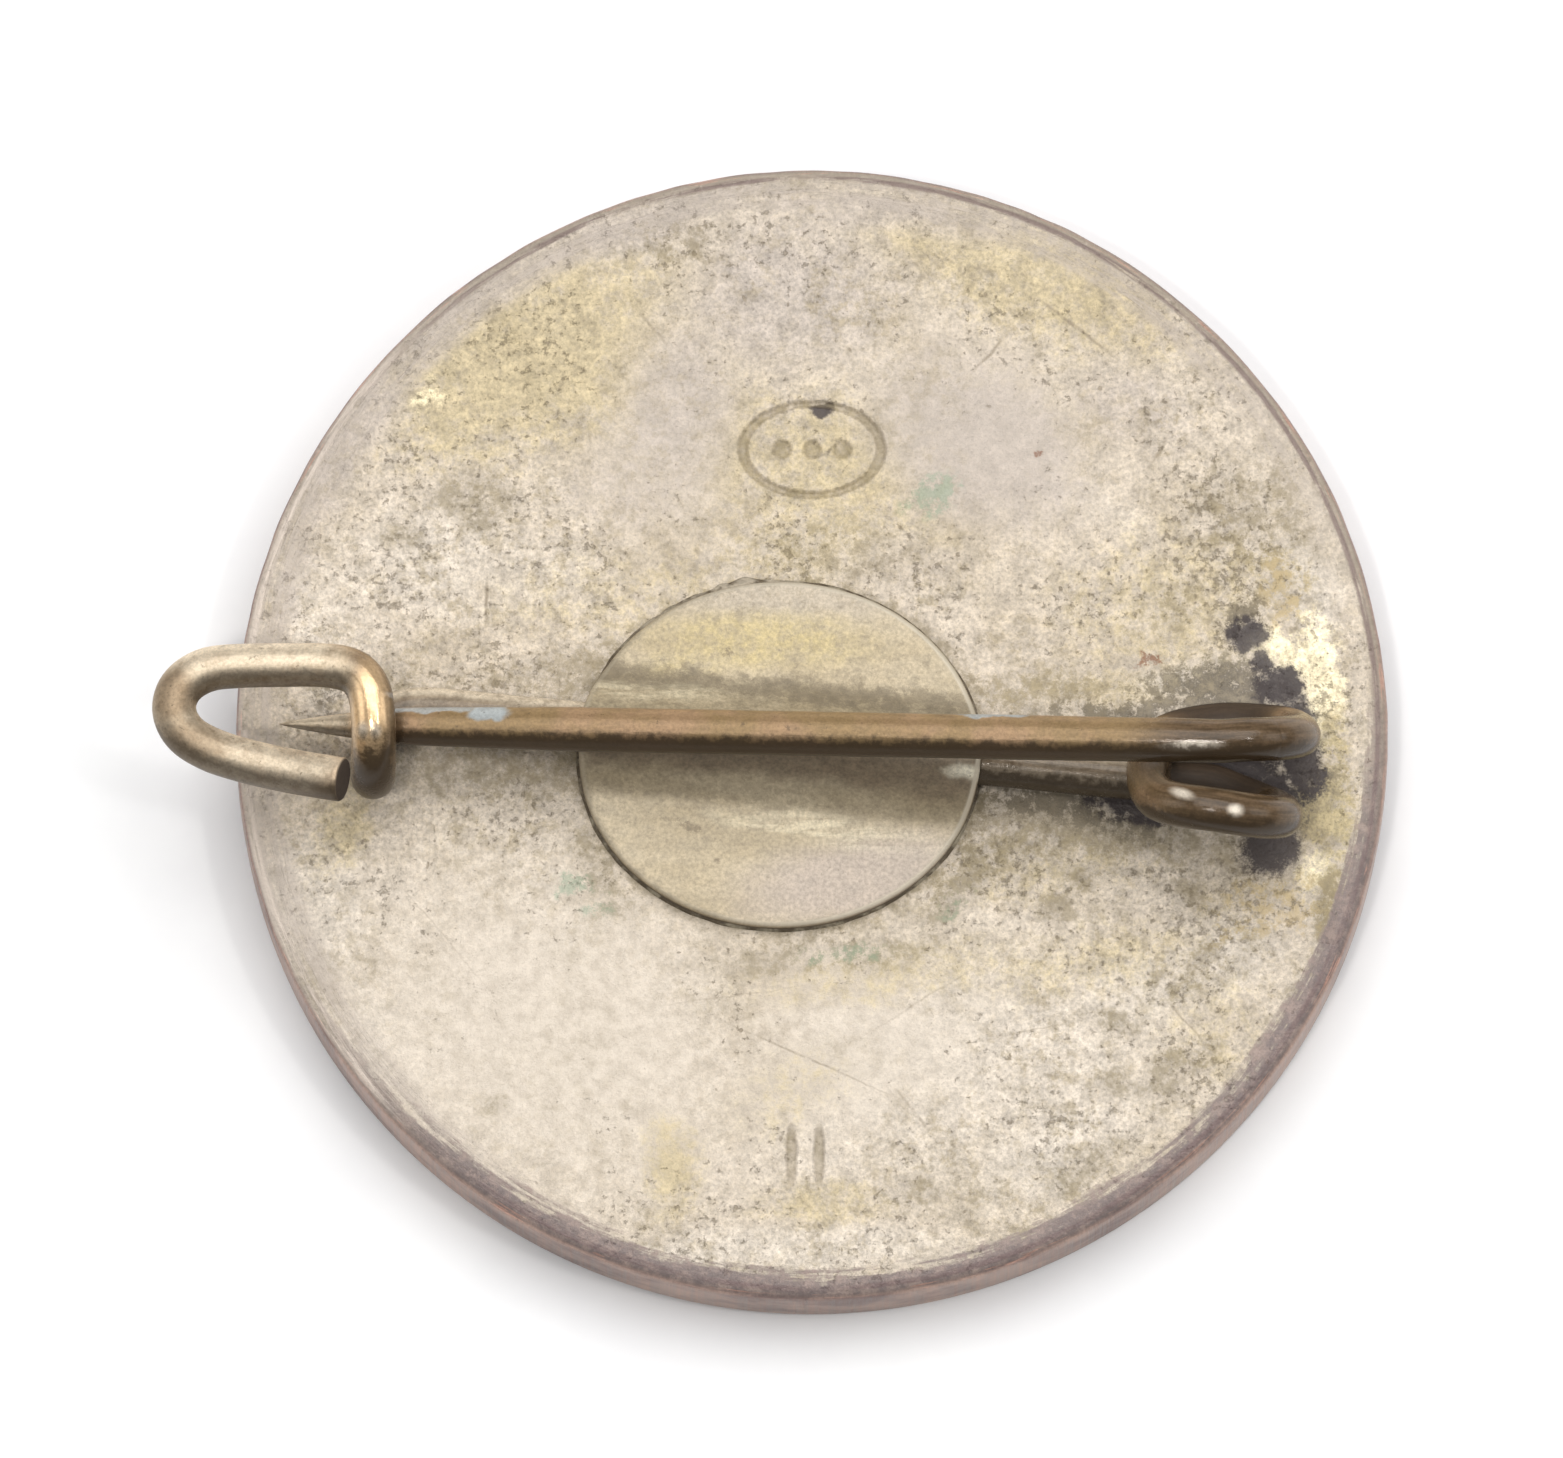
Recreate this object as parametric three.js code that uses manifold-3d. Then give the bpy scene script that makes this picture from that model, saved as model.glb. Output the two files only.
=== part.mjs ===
// Round enamelled lapel badge with a one-piece wire safety-pin fitting.
//
// Frame: millimetres. The badge lies on its face, so the front face is the plane z = 0 and the
// back of the badge looks along +Z. The origin is the centre of the front face. The pin wire
// runs along X: its spring coil is on the +X side and its catch is on the -X side.

import * as THREE from 'three';
import * as BufferGeometryUtils from 'three/addons/utils/BufferGeometryUtils.js';
import Module from 'manifold-3d';

const wasm = await Module();
wasm.setup();

// ---------------------------------------------------------------- driving dimensions

const BADGE_RADIUS = 11.5;
const BADGE_THICKNESS = 2.1;
const FRONT_RIM_ROUND = 0.15;
const BACK_BEVEL_WIDTH = 0.4;
const BACK_BEVEL_HEIGHT = 0.22;
const BACK_LIP_RADIUS = 10.7;
const BACK_LIP_STEP = 0.05;
const BADGE_SEGMENTS = 72;

const ENAMEL_DEPTH = 0.4;
const BORDER_ENAMEL = { inner: 9.7, outer: 10.9 };
const FIELD_ENAMEL = { inner: 3.1, outer: 9.35 };
const CENTRE_ENAMEL_RADIUS = 2.75;

const WIRE_RADIUS = 0.45;
const WIRE_SIDES = 10;
const WIRE_LIFT = 0.01;

const COIL_X = 8.245;
const COIL_RADIUS = 1.385;
const SECOND_TURN_X = 7.96;
const SECOND_TURN_RADIUS = 1.31;
const COIL_TURN = 545.83;
const COIL_STEPS = 48;

const NEEDLE_SLOPE = THREE.MathUtils.degToRad(5.83);
const NEEDLE_YAW = THREE.MathUtils.degToRad(2.2);
const NEEDLE_Y_AT_COIL = -0.87;
const NEEDLE_LENGTH = 18.28;
const NEEDLE_ROOT_STEPS = 4;
const HINGE_SETBACK = 0.51;

const ANCHOR_SLOPE = -0.1004;
const ANCHOR_Y_AT_COIL = -1.243;
const CATCH_START_X = -7.6;
const CATCH_STEPS = 72;
const WIRE_JOINT_GAP = 0.06;

// The wire's Y by the degrees that the coil has turned, counted from the needle.
const COIL_DRIFT = [
  [0, NEEDLE_Y_AT_COIL],
  [45, -0.76],
  [90, -0.52],
  [140, -0.14],
  [185, 0],
  [215, -0.12],
  [240, -0.37],
  [255, -0.66],
  [270, -1.1],
  [290, -1.6],
  [315, -1.96],
  [360, -2.2],
  [405, -2.29],
  [450, -2.12],
  [495, -1.75],
  [545, ANCHOR_Y_AT_COIL],
];

// The needle's radius by the distance back from its point.
const NEEDLE_TAPER = [
  [5.6, WIRE_RADIUS],
  [4.4, 0.42],
  [2.5, 0.38],
  [1.8, 0.3],
  [1.2, 0.19],
  [0.45, 0.08],
  [0, 0],
];

// The catch: under the needle, up its -Y side, over its top, then out past the badge's edge as
// a flat finger loop that comes back to a cut end beside the hook. Heights are above the back.
const CATCH_ROUTE = [
  [-8.12, 0.28, 0.47],
  [-8.58, 0.03, 0.5],
  [-8.72, -0.5, 0.56],
  [-8.72, -1.02, 0.92],
  [-8.7, -1.27, 1.5],
  [-8.67, -1.12, 2.12],
  [-8.66, -0.68, 2.55],
  [-8.68, -0.15, 2.68],
  [-8.76, 0.28, 2.67],
  [-9.0, 0.62, 2.63],
  [-9.45, 0.76, 2.6],
  [-10.5, 0.78, 2.6],
  [-11.4, 0.76, 2.6],
  [-12.0, 0.68, 2.6],
  [-12.47, 0.36, 2.6],
  [-12.62, -0.1, 2.6],
  [-12.41, -0.58, 2.6],
  [-11.92, -0.9, 2.6],
  [-11.3, -1.12, 2.63],
  [-10.3, -1.38, 2.76],
  [-9.28, -1.6, 3.02],
];

const DISC_CENTRE = new THREE.Vector2(-0.64, -0.55);
const DISC_LENGTH = 8.0;
const DISC_WIDTH = 7.0;
const DISC_SHEET = 0.3;
const DISC_HUMP_HALF_WIDTH = 1.5;
const DISC_HUMP_STEPS = 12;
const DISC_SEGMENTS = 64;
const CHANNEL_CLEARANCE = 0.05;
const CHANNEL_SEGMENTS = 10;

const SEAM_GAP = 0.02;
const SEAM_WIDTH = 0.22;
const SEAM_HEIGHT = 0.16;

const STAMP_DEPTH = 0.08;
const CARTOUCHE = { x: 0, y: 5.7, halfLength: 1.45, halfHeight: 1.0, line: 0.14, segments: 32 };
const CARTOUCHE_DOTS = { radius: 0.2, pitch: 0.6, segments: 10 };
const CHECK_MARKS = { x: -0.14, y: -8.6, pitch: 0.55, width: 0.2, height: 1.2, segments: 12 };

// How far a cutting solid runs past the surface that it cuts.
const CUTTER_REACH = 3;
const WELD_DISTANCE = 1e-5;

// ---------------------------------------------------------------- materials

const finishes = {
  copper: { color: 0x8a6250, roughness: 0.5, metalness: 0.9 },
  blueEnamel: { color: 0x1c3f63, roughness: 0.15, metalness: 0.0 },
  ivoryEnamel: { color: 0xe4dcc4, roughness: 0.2, metalness: 0.0 },
  silvered: { color: 0xcfc4ab, roughness: 0.4, metalness: 0.8 },
  solder: { color: 0x9a9688, roughness: 0.6, metalness: 0.7 },
  wire: { color: 0x9c7a52, roughness: 0.35, metalness: 0.95 },
};

// ---------------------------------------------------------------- helpers

function makeMesh(name, geometry, finish) {
  const mesh = new THREE.Mesh(geometry, new THREE.MeshStandardMaterial(finishes[finish]));
  mesh.name = name;
  return mesh;
}

function pointsOf(pairs) {
  return pairs.map(([x, y]) => new THREE.Vector2(x, y));
}

// A turned piece about the badge's own axis, with the profile given as [radius, z].
function turned(profile, segments) {
  const geometry = new THREE.LatheGeometry(pointsOf(profile), segments);
  geometry.rotateX(Math.PI / 2);
  return geometry;
}

function toSolid(geometry) {
  const bare = geometry.clone();
  bare.deleteAttribute('normal');
  bare.deleteAttribute('uv');
  const welded = BufferGeometryUtils.mergeVertices(bare, WELD_DISTANCE);
  const vertProperties = new Float32Array(welded.attributes.position.array);
  const index = welded.index.array;
  const kept = [];
  for (let i = 0; i < index.length; i += 3) {
    const corners = [index[i], index[i + 1], index[i + 2]];
    if (new Set(corners).size === 3) {
      kept.push(...corners);
    }
  }
  const triVerts = new Uint32Array(kept);
  return new wasm.Manifold(new wasm.Mesh({ numProp: 3, vertProperties, triVerts }));
}

function toGeometry(solid) {
  const mesh = solid.getMesh();
  const geometry = new THREE.BufferGeometry();
  geometry.setAttribute('position', new THREE.BufferAttribute(mesh.vertProperties, 3));
  geometry.setIndex(new THREE.BufferAttribute(mesh.triVerts, 1));
  geometry.computeVertexNormals();
  return geometry;
}

function prism(outline, bottom, top) {
  const shape = new THREE.Shape(outline);
  const geometry = new THREE.ExtrudeGeometry(shape, { depth: top - bottom, bevelEnabled: false });
  geometry.translate(0, 0, bottom);
  return geometry;
}

function ovalOutline(centre, halfLength, halfWidth, segments) {
  const outline = [];
  for (let i = 0; i < segments; i += 1) {
    const angle = (2 * Math.PI * i) / segments;
    const x = centre.x + halfLength * Math.cos(angle);
    const y = centre.y + halfWidth * Math.sin(angle);
    outline.push(new THREE.Vector2(x, y));
  }
  return outline;
}

function wireSection() {
  const outline = ovalOutline(new THREE.Vector2(0, 0), WIRE_RADIUS, WIRE_RADIUS, WIRE_SIDES);
  return new THREE.Shape(outline);
}

function wireAlong(curve, steps) {
  return new THREE.ExtrudeGeometry(wireSection(), { steps, extrudePath: curve, bevelEnabled: false });
}

// ---------------------------------------------------------------- the route of the wire

const backZ = BADGE_THICKNESS;
const wireZ = backZ + WIRE_LIFT + WIRE_RADIUS;

// The coil is followed from the needle, clockwise as seen from -Y: over the right-hand bend,
// back along the badge, up the left-hand bend, over the top again and down to the anchor.
// Angles are in degrees about the coil's axis, with 0 along +X and 90 upwards.
const coilStartAngle = 90 + THREE.MathUtils.radToDeg(NEEDLE_SLOPE);
const drift = new THREE.CubicInterpolant(
  COIL_DRIFT.map(([turned]) => turned),
  COIL_DRIFT.map(([, y]) => y),
  1,
);

function coilPoint(angle) {
  const second = THREE.MathUtils.smoothstep(-angle, 90, 180);
  const centreX = THREE.MathUtils.lerp(COIL_X, SECOND_TURN_X, second);
  const radius = THREE.MathUtils.lerp(COIL_RADIUS, SECOND_TURN_RADIUS, second);
  const radians = THREE.MathUtils.degToRad(angle);
  const y = drift.evaluate(coilStartAngle - angle)[0];
  return new THREE.Vector3(
    centreX + radius * Math.cos(radians),
    y,
    wireZ + radius + radius * Math.sin(radians),
  );
}

function anchorPoint(x) {
  return new THREE.Vector3(x, ANCHOR_Y_AT_COIL + ANCHOR_SLOPE * (x - SECOND_TURN_X), wireZ);
}

const needleStart = coilPoint(coilStartAngle);
const needleDirection = new THREE.Vector3(
  -Math.cos(NEEDLE_SLOPE) * Math.cos(NEEDLE_YAW),
  Math.cos(NEEDLE_SLOPE) * Math.sin(NEEDLE_YAW),
  -Math.sin(NEEDLE_SLOPE),
);
const hinge = needleStart.clone().addScaledVector(needleDirection, HINGE_SETBACK);

// ---------------------------------------------------------------- badge

function stampCutter(x, y, halfLength, halfHeight, segments) {
  const outline = ovalOutline(new THREE.Vector2(x, y), halfLength, halfHeight, segments);
  return toSolid(prism(outline, backZ - STAMP_DEPTH, backZ + CUTTER_REACH));
}

// A ring cut along the cartouche's oval.
function cartoucheCutter() {
  const { x, y, halfLength, halfHeight, line, segments } = CARTOUCHE;
  const outer = stampCutter(x, y, halfLength, halfHeight, segments);
  return outer.subtract(stampCutter(x, y, halfLength - line, halfHeight - line, segments));
}

function stampCutters() {
  const cutters = [cartoucheCutter()];
  for (const step of [-1, 0, 1]) {
    const x = CARTOUCHE.x + step * CARTOUCHE_DOTS.pitch;
    const { radius, segments } = CARTOUCHE_DOTS;
    cutters.push(stampCutter(x, CARTOUCHE.y, radius, radius, segments));
  }
  for (const side of [-1, 1]) {
    const { y, pitch, width, height, segments } = CHECK_MARKS;
    const x = CHECK_MARKS.x + (side * pitch) / 2;
    cutters.push(stampCutter(x, y, width / 2, height / 2, segments));
  }
  return cutters;
}

function badgeBody() {
  const floor = ENAMEL_DEPTH;
  const profile = [
    [0, floor],
    [CENTRE_ENAMEL_RADIUS, floor],
    [CENTRE_ENAMEL_RADIUS, 0],
    [FIELD_ENAMEL.inner, 0],
    [FIELD_ENAMEL.inner, floor],
    [FIELD_ENAMEL.outer, floor],
    [FIELD_ENAMEL.outer, 0],
    [BORDER_ENAMEL.inner, 0],
    [BORDER_ENAMEL.inner, floor],
    [BORDER_ENAMEL.outer, floor],
    [BORDER_ENAMEL.outer, 0],
    [BADGE_RADIUS - FRONT_RIM_ROUND, 0],
    [BADGE_RADIUS, FRONT_RIM_ROUND],
    [BADGE_RADIUS, backZ - BACK_BEVEL_HEIGHT],
    [BADGE_RADIUS - BACK_BEVEL_WIDTH, backZ - BACK_LIP_STEP],
    [BACK_LIP_RADIUS, backZ - BACK_LIP_STEP],
    [BACK_LIP_RADIUS - BACK_LIP_STEP, backZ],
    [0, backZ],
  ];
  let solid = toSolid(turned(profile, BADGE_SEGMENTS));
  for (const cutter of stampCutters()) {
    solid = solid.subtract(cutter);
  }
  return toGeometry(solid);
}

function enamelRing({ inner, outer }) {
  return turned(
    [
      [inner, 0],
      [outer, 0],
      [outer, ENAMEL_DEPTH],
      [inner, ENAMEL_DEPTH],
      [inner, 0],
    ],
    BADGE_SEGMENTS,
  );
}

function enamelCentre() {
  return turned(
    [
      [0, 0],
      [CENTRE_ENAMEL_RADIUS, 0],
      [CENTRE_ENAMEL_RADIUS, ENAMEL_DEPTH],
      [0, ENAMEL_DEPTH],
    ],
    BADGE_SEGMENTS,
  );
}

// ---------------------------------------------------------------- retaining disc and its seam

// The disc is a thin round blank pressed over the anchor wire, so it stands up along the wire
// as a smooth hump and is shorter across the wire than along it.
function humpSection() {
  const crown = 2 * WIRE_RADIUS + WIRE_LIFT + CHANNEL_CLEARANCE + DISC_SHEET;
  const half = DISC_WIDTH;
  const channel = WIRE_RADIUS + CHANNEL_CLEARANCE;
  const shape = new THREE.Shape();
  shape.moveTo(-half, 0);
  shape.lineTo(-channel, 0);
  shape.absarc(0, WIRE_RADIUS + WIRE_LIFT, channel, Math.PI, 0, true);
  shape.lineTo(channel, 0);
  shape.lineTo(half, 0);
  shape.lineTo(half, DISC_SHEET);
  for (let i = 0; i <= DISC_HUMP_STEPS; i += 1) {
    const across = DISC_HUMP_HALF_WIDTH * (1 - (2 * i) / DISC_HUMP_STEPS);
    const lift = 0.5 * (1 + Math.cos((Math.PI * across) / DISC_HUMP_HALF_WIDTH));
    shape.lineTo(across, DISC_SHEET + (crown - DISC_SHEET) * lift);
  }
  shape.lineTo(-half, DISC_SHEET);
  shape.closePath();
  return shape;
}

function alongAnchor(geometry) {
  const middle = anchorPoint(DISC_CENTRE.x);
  geometry.rotateX(Math.PI / 2);
  geometry.rotateZ(Math.PI / 2 + Math.atan(ANCHOR_SLOPE));
  geometry.translate(middle.x, middle.y, backZ);
  return geometry;
}

// A prism on the disc's outline, grown all round.
function discPrism(grow, bottom, top) {
  const halfLength = DISC_LENGTH / 2 + grow;
  const halfWidth = DISC_WIDTH / 2 + grow;
  return toSolid(prism(ovalOutline(DISC_CENTRE, halfLength, halfWidth, DISC_SEGMENTS), bottom, top));
}

function retainingDisc() {
  const length = 2 * DISC_LENGTH;
  const ridge = new THREE.ExtrudeGeometry(humpSection(), {
    depth: length,
    bevelEnabled: false,
    curveSegments: CHANNEL_SEGMENTS,
  });
  ridge.translate(0, 0, -length / 2);
  const blank = discPrism(0, backZ - CUTTER_REACH, backZ + CUTTER_REACH);
  return toGeometry(toSolid(alongAnchor(ridge)).intersect(blank));
}

// The solder fillet round the disc is broken where the wire passes, so it is one arc on each
// side of it: side is 1 for the +Y arc and -1 for the other.
function solderSeam(side) {
  const fillet = discPrism(SEAM_GAP + SEAM_WIDTH, backZ, backZ + SEAM_HEIGHT);
  const ring = fillet.subtract(discPrism(SEAM_GAP, backZ - CUTTER_REACH, backZ + CUTTER_REACH));
  const across = 2 * DISC_LENGTH;
  const otherSide = new THREE.BoxGeometry(across, across, across);
  otherSide.translate(side * (WIRE_RADIUS + CHANNEL_CLEARANCE - across / 2), 0, 0);
  return toGeometry(ring.subtract(toSolid(alongAnchor(otherSide))));
}

// ---------------------------------------------------------------- pin wire

// The needle's root is rounded about the hinge point, and its axis runs from there to its point.
function pinNeedle() {
  const profile = [];
  for (let i = 0; i <= NEEDLE_ROOT_STEPS; i += 1) {
    const angle = (Math.PI / 2) * (i / NEEDLE_ROOT_STEPS);
    profile.push([WIRE_RADIUS * Math.sin(angle), -WIRE_RADIUS * Math.cos(angle)]);
  }
  for (const [fromPoint, radius] of NEEDLE_TAPER) {
    profile.push([radius, NEEDLE_LENGTH - fromPoint]);
  }
  const geometry = new THREE.LatheGeometry(pointsOf(profile), WIRE_SIDES);
  const up = new THREE.Vector3(0, 1, 0);
  geometry.applyQuaternion(new THREE.Quaternion().setFromUnitVectors(up, needleDirection));
  geometry.translate(hinge.x, hinge.y, hinge.z);
  return geometry;
}

function pinCoil() {
  const points = [];
  for (let i = 0; i <= COIL_STEPS; i += 1) {
    points.push(coilPoint(coilStartAngle - (COIL_TURN * i) / COIL_STEPS));
  }
  return wireAlong(new THREE.CatmullRomCurve3(points), COIL_STEPS);
}

function pinAnchor() {
  const start = anchorPoint(SECOND_TURN_X - WIRE_JOINT_GAP);
  const end = anchorPoint(CATCH_START_X + WIRE_JOINT_GAP);
  return wireAlong(new THREE.LineCurve3(start, end), 1);
}

function pinCatch() {
  const points = [anchorPoint(CATCH_START_X)];
  for (const [x, y, height] of CATCH_ROUTE) {
    points.push(new THREE.Vector3(x, y, backZ + height));
  }
  return wireAlong(new THREE.CatmullRomCurve3(points), CATCH_STEPS);
}

// ---------------------------------------------------------------- assembly

const badge = new THREE.Group();
badge.add(
  makeMesh('badge_body', badgeBody(), 'copper'),
  makeMesh('enamel_border', enamelRing(BORDER_ENAMEL), 'ivoryEnamel'),
  makeMesh('enamel_field', enamelRing(FIELD_ENAMEL), 'blueEnamel'),
  makeMesh('enamel_centre', enamelCentre(), 'ivoryEnamel'),
  makeMesh('retaining_disc', retainingDisc(), 'silvered'),
  makeMesh('solder_seam_upper', solderSeam(1), 'solder'),
  makeMesh('solder_seam_lower', solderSeam(-1), 'solder'),
  makeMesh('pin_anchor', pinAnchor(), 'wire'),
  makeMesh('pin_coil', pinCoil(), 'wire'),
  makeMesh('pin_catch', pinCatch(), 'wire'),
  makeMesh('pin_needle', pinNeedle(), 'wire'),
);

export default badge;
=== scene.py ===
"""The looks of a round enamelled lapel badge that lies on its face with its wire pin on top.

Everything is worked out in millimetres in the row frame and turned into metres as meshes are
made. The badge's face is z = 0 and its back looks along +Z; the pin runs along X, with its
spring coil on the +X side and its catch on the -X side.
"""

import math

import bmesh
import bpy
import numpy as np
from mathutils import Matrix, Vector, noise
from mathutils.geometry import delaunay_2d_cdt


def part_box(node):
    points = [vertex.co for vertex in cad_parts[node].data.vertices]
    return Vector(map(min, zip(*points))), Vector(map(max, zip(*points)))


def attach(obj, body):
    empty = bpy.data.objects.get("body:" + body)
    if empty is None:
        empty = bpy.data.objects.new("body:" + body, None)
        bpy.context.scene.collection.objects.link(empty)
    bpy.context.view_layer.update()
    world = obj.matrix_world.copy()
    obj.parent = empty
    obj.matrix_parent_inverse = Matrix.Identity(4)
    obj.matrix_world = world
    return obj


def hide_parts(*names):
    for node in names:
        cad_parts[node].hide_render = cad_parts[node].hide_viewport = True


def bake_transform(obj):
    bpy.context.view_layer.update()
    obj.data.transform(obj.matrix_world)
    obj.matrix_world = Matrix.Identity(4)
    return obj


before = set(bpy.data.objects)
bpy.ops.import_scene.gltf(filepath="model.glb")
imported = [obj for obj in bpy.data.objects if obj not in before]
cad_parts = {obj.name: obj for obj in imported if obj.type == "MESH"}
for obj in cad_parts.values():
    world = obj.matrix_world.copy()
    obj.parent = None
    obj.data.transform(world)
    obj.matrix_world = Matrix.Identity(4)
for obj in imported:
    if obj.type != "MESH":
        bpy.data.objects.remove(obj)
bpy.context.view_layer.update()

# ------------------------------------------------------------------ sizes, in millimetres

MM = 0.001
BODY_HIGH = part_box("badge_body")[1] / MM
DISC_LOW, DISC_HIGH = (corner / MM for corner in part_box("retaining_disc"))

RADIUS = BODY_HIGH.x
BACK = BODY_HIGH.z
ENAMEL_DEPTH = 0.4
CENTRE_RADIUS = 2.75
FIELD_RADII = (3.1, 9.35)
BORDER_RADII = (9.7, 10.9)
PLATE_RADIUS = 10.45

WIRE_RADIUS = 0.45
WIRE_Z = BACK + 0.01 + WIRE_RADIUS
NEEDLE_SLOPE_DEGREES = 5.83
NEEDLE_SLOPE = math.radians(NEEDLE_SLOPE_DEGREES)
NEEDLE_YAW = math.radians(2.2)
NEEDLE_LENGTH = 18.28
HINGE_SETBACK = 0.51
# The coil runs from the needle down to the anchor; each turn has its centre's X and its radius.
COIL_START = 90 + NEEDLE_SLOPE_DEGREES
COIL_END = -450
COIL_TURNS = ((8.245, 1.385), (7.96, 1.31))
ANCHOR_SLOPE = -0.1004
ANCHOR_Y = -1.243
CATCH_START_X = -7.6

# The wire's Y by the degrees that the coil has turned, counted from the needle.
COIL_DRIFT = (
    (0, -0.87), (45, -0.76), (90, -0.52), (140, -0.14), (185, 0), (215, -0.12),
    (240, -0.37), (255, -0.66), (270, -1.1), (290, -1.6), (315, -1.96), (360, -2.2),
    (405, -2.29), (450, -2.12), (495, -1.75), (545, ANCHOR_Y),
)

# The catch from the anchor to its cut end; heights are above the badge's back.
CATCH_ROUTE = (
    (-8.12, 0.28, 0.47), (-8.58, 0.03, 0.5), (-8.72, -0.5, 0.56), (-8.72, -1.02, 0.92),
    (-8.7, -1.27, 1.5), (-8.67, -1.12, 2.12), (-8.66, -0.68, 2.55), (-8.68, -0.15, 2.68),
    (-8.76, 0.28, 2.67), (-9.0, 0.62, 2.63), (-9.45, 0.76, 2.6), (-10.5, 0.78, 2.6),
    (-11.4, 0.76, 2.6), (-12.0, 0.68, 2.6), (-12.47, 0.36, 2.6), (-12.62, -0.1, 2.6),
    (-12.41, -0.58, 2.6), (-11.92, -0.9, 2.6), (-11.3, -1.12, 2.63), (-10.3, -1.38, 2.76),
    (-9.28, -1.6, 3.02),
)

DISC_X = (DISC_LOW.x + DISC_HIGH.x) / 2
DISC_Y = (DISC_LOW.y + DISC_HIGH.y) / 2
DISC_A = (DISC_HIGH.x - DISC_LOW.x) / 2
DISC_B = (DISC_HIGH.y - DISC_LOW.y) / 2
DISC_SHEET = 0.3
DISC_CROWN = DISC_HIGH.z - BACK
HUMP_HALF = 1.5
# What is fixed on the back goes a little into it.
SEAT_Z = BACK - 0.04

# The struck marks: an oval ring with three dots in it, and two strokes.
OVAL_X, OVAL_Y, OVAL_A, OVAL_B = 0.0, 5.7, 1.38, 0.93
OVAL_LINE, DOT_RADIUS, DOT_PITCH = 0.07, 0.2, 0.6
STROKES_X, STROKES_Y, STROKE_A, STROKE_B, STROKE_PITCH = -0.14, -8.6, 0.1, 0.6, 0.55
STAMP_DEPTH = 0.08

# ------------------------------------------------------------------ small maths


def smooth(value, low, high):
    """0 below low, 1 above high, and an even rise between them."""
    t = np.clip((np.asarray(value, float) - low) / (high - low), 0, 1)
    return t * t * (3 - 2 * t)


def through(table, x):
    """A smooth line through the (x, y) rows of a table."""
    xs = np.array([row[0] for row in table], float)
    ys = np.array([row[1] for row in table], float)
    slopes = np.gradient(ys, xs)
    slopes[1:-1] = (ys[2:] - ys[:-2]) / (xs[2:] - xs[:-2])
    i = int(np.clip(np.searchsorted(xs, x) - 1, 0, len(xs) - 2))
    span = xs[i + 1] - xs[i]
    t = (x - xs[i]) / span
    return (
        (2 * t**3 - 3 * t**2 + 1) * ys[i]
        + (t**3 - 2 * t**2 + t) * span * slopes[i]
        + (3 * t**2 - 2 * t**3) * ys[i + 1]
        + (t**3 - t**2) * span * slopes[i + 1]
    )


def curve_through(points, per_span=10):
    """Points on a centripetal Catmull-Rom curve through the given points."""
    p = np.array(points, float)
    p = np.vstack((2 * p[0] - p[1], p, 2 * p[-1] - p[-2]))
    made = []
    for i in range(1, len(p) - 2):
        knots = [0.0]
        for k in range(3):
            knots.append(knots[-1] + math.sqrt(np.linalg.norm(p[i + k] - p[i + k - 1])))
        for t in np.linspace(knots[1], knots[2], per_span, endpoint=False):
            level = p[i - 1:i + 3]
            for spans in (((0, 1), (1, 2), (2, 3)), ((0, 2), (1, 3)), ((1, 2),)):
                level = [
                    ((knots[b] - t) * level[n] + (t - knots[a]) * level[n + 1]) / (knots[b] - knots[a])
                    for n, (a, b) in enumerate(spans)
                ]
            made.append(level[0])
    made.append(p[-2])
    return np.array(made)


def lengths_along(path):
    """How far along a line each of its points lies."""
    return np.concatenate(([0], np.cumsum(np.linalg.norm(np.diff(path, axis=0), axis=1))))


def resample(path, step):
    """The same line with points a step apart."""
    lengths = lengths_along(path)
    count = max(2, round(lengths[-1] / step) + 1)
    wanted = np.linspace(0, lengths[-1], count)
    return np.column_stack([np.interp(wanted, lengths, path[:, k]) for k in range(3)])


def soften(path, rounds):
    """The line with its small corners rubbed off, its ends kept."""
    p = path.copy()
    for _ in range(rounds):
        p[1:-1] = 0.25 * p[:-2] + 0.5 * p[1:-1] + 0.25 * p[2:]
    return p


def wander(x, y, z=0.0, size=1.0):
    """Even noise from -1 to 1 whose lumps are about size across."""
    return noise.noise(Vector((x / size, y / size, z / size)))


# ------------------------------------------------------------------ meshes


def make_piece(name, points, faces, material):
    """A closed mesh from points in millimetres, with the rest place of each point kept on it."""
    points = np.asarray(points, float)
    mesh = bpy.data.meshes.new(name)
    mesh.from_pydata((points * MM).tolist(), [], [list(map(int, face)) for face in faces])
    shell = bmesh.new()
    shell.from_mesh(mesh)
    bmesh.ops.recalc_face_normals(shell, faces=shell.faces)
    shell.to_mesh(mesh)
    shell.free()
    mesh.polygons.foreach_set("use_smooth", [True] * len(mesh.polygons))
    place = mesh.attributes.new("rest_mm", "FLOAT_VECTOR", "POINT")
    place.data.foreach_set("vector", points.astype(np.float32).ravel())
    mesh.materials.append(material)
    mesh.update()
    piece = bpy.data.objects.new(name, mesh)
    bpy.context.scene.collection.objects.link(piece)
    return piece


def add_layer(piece, name, values):
    """A number for each point of a piece, which its material reads by name."""
    layer = piece.data.attributes.new(name, "FLOAT", "POINT")
    layer.data.foreach_set("value", np.asarray(values, np.float32))


def ring_faces(first, second, count):
    """Quads between two rings of count points that start at the given indices."""
    return [
        (first + i, first + (i + 1) % count, second + (i + 1) % count, second + i)
        for i in range(count)
    ]


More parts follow.
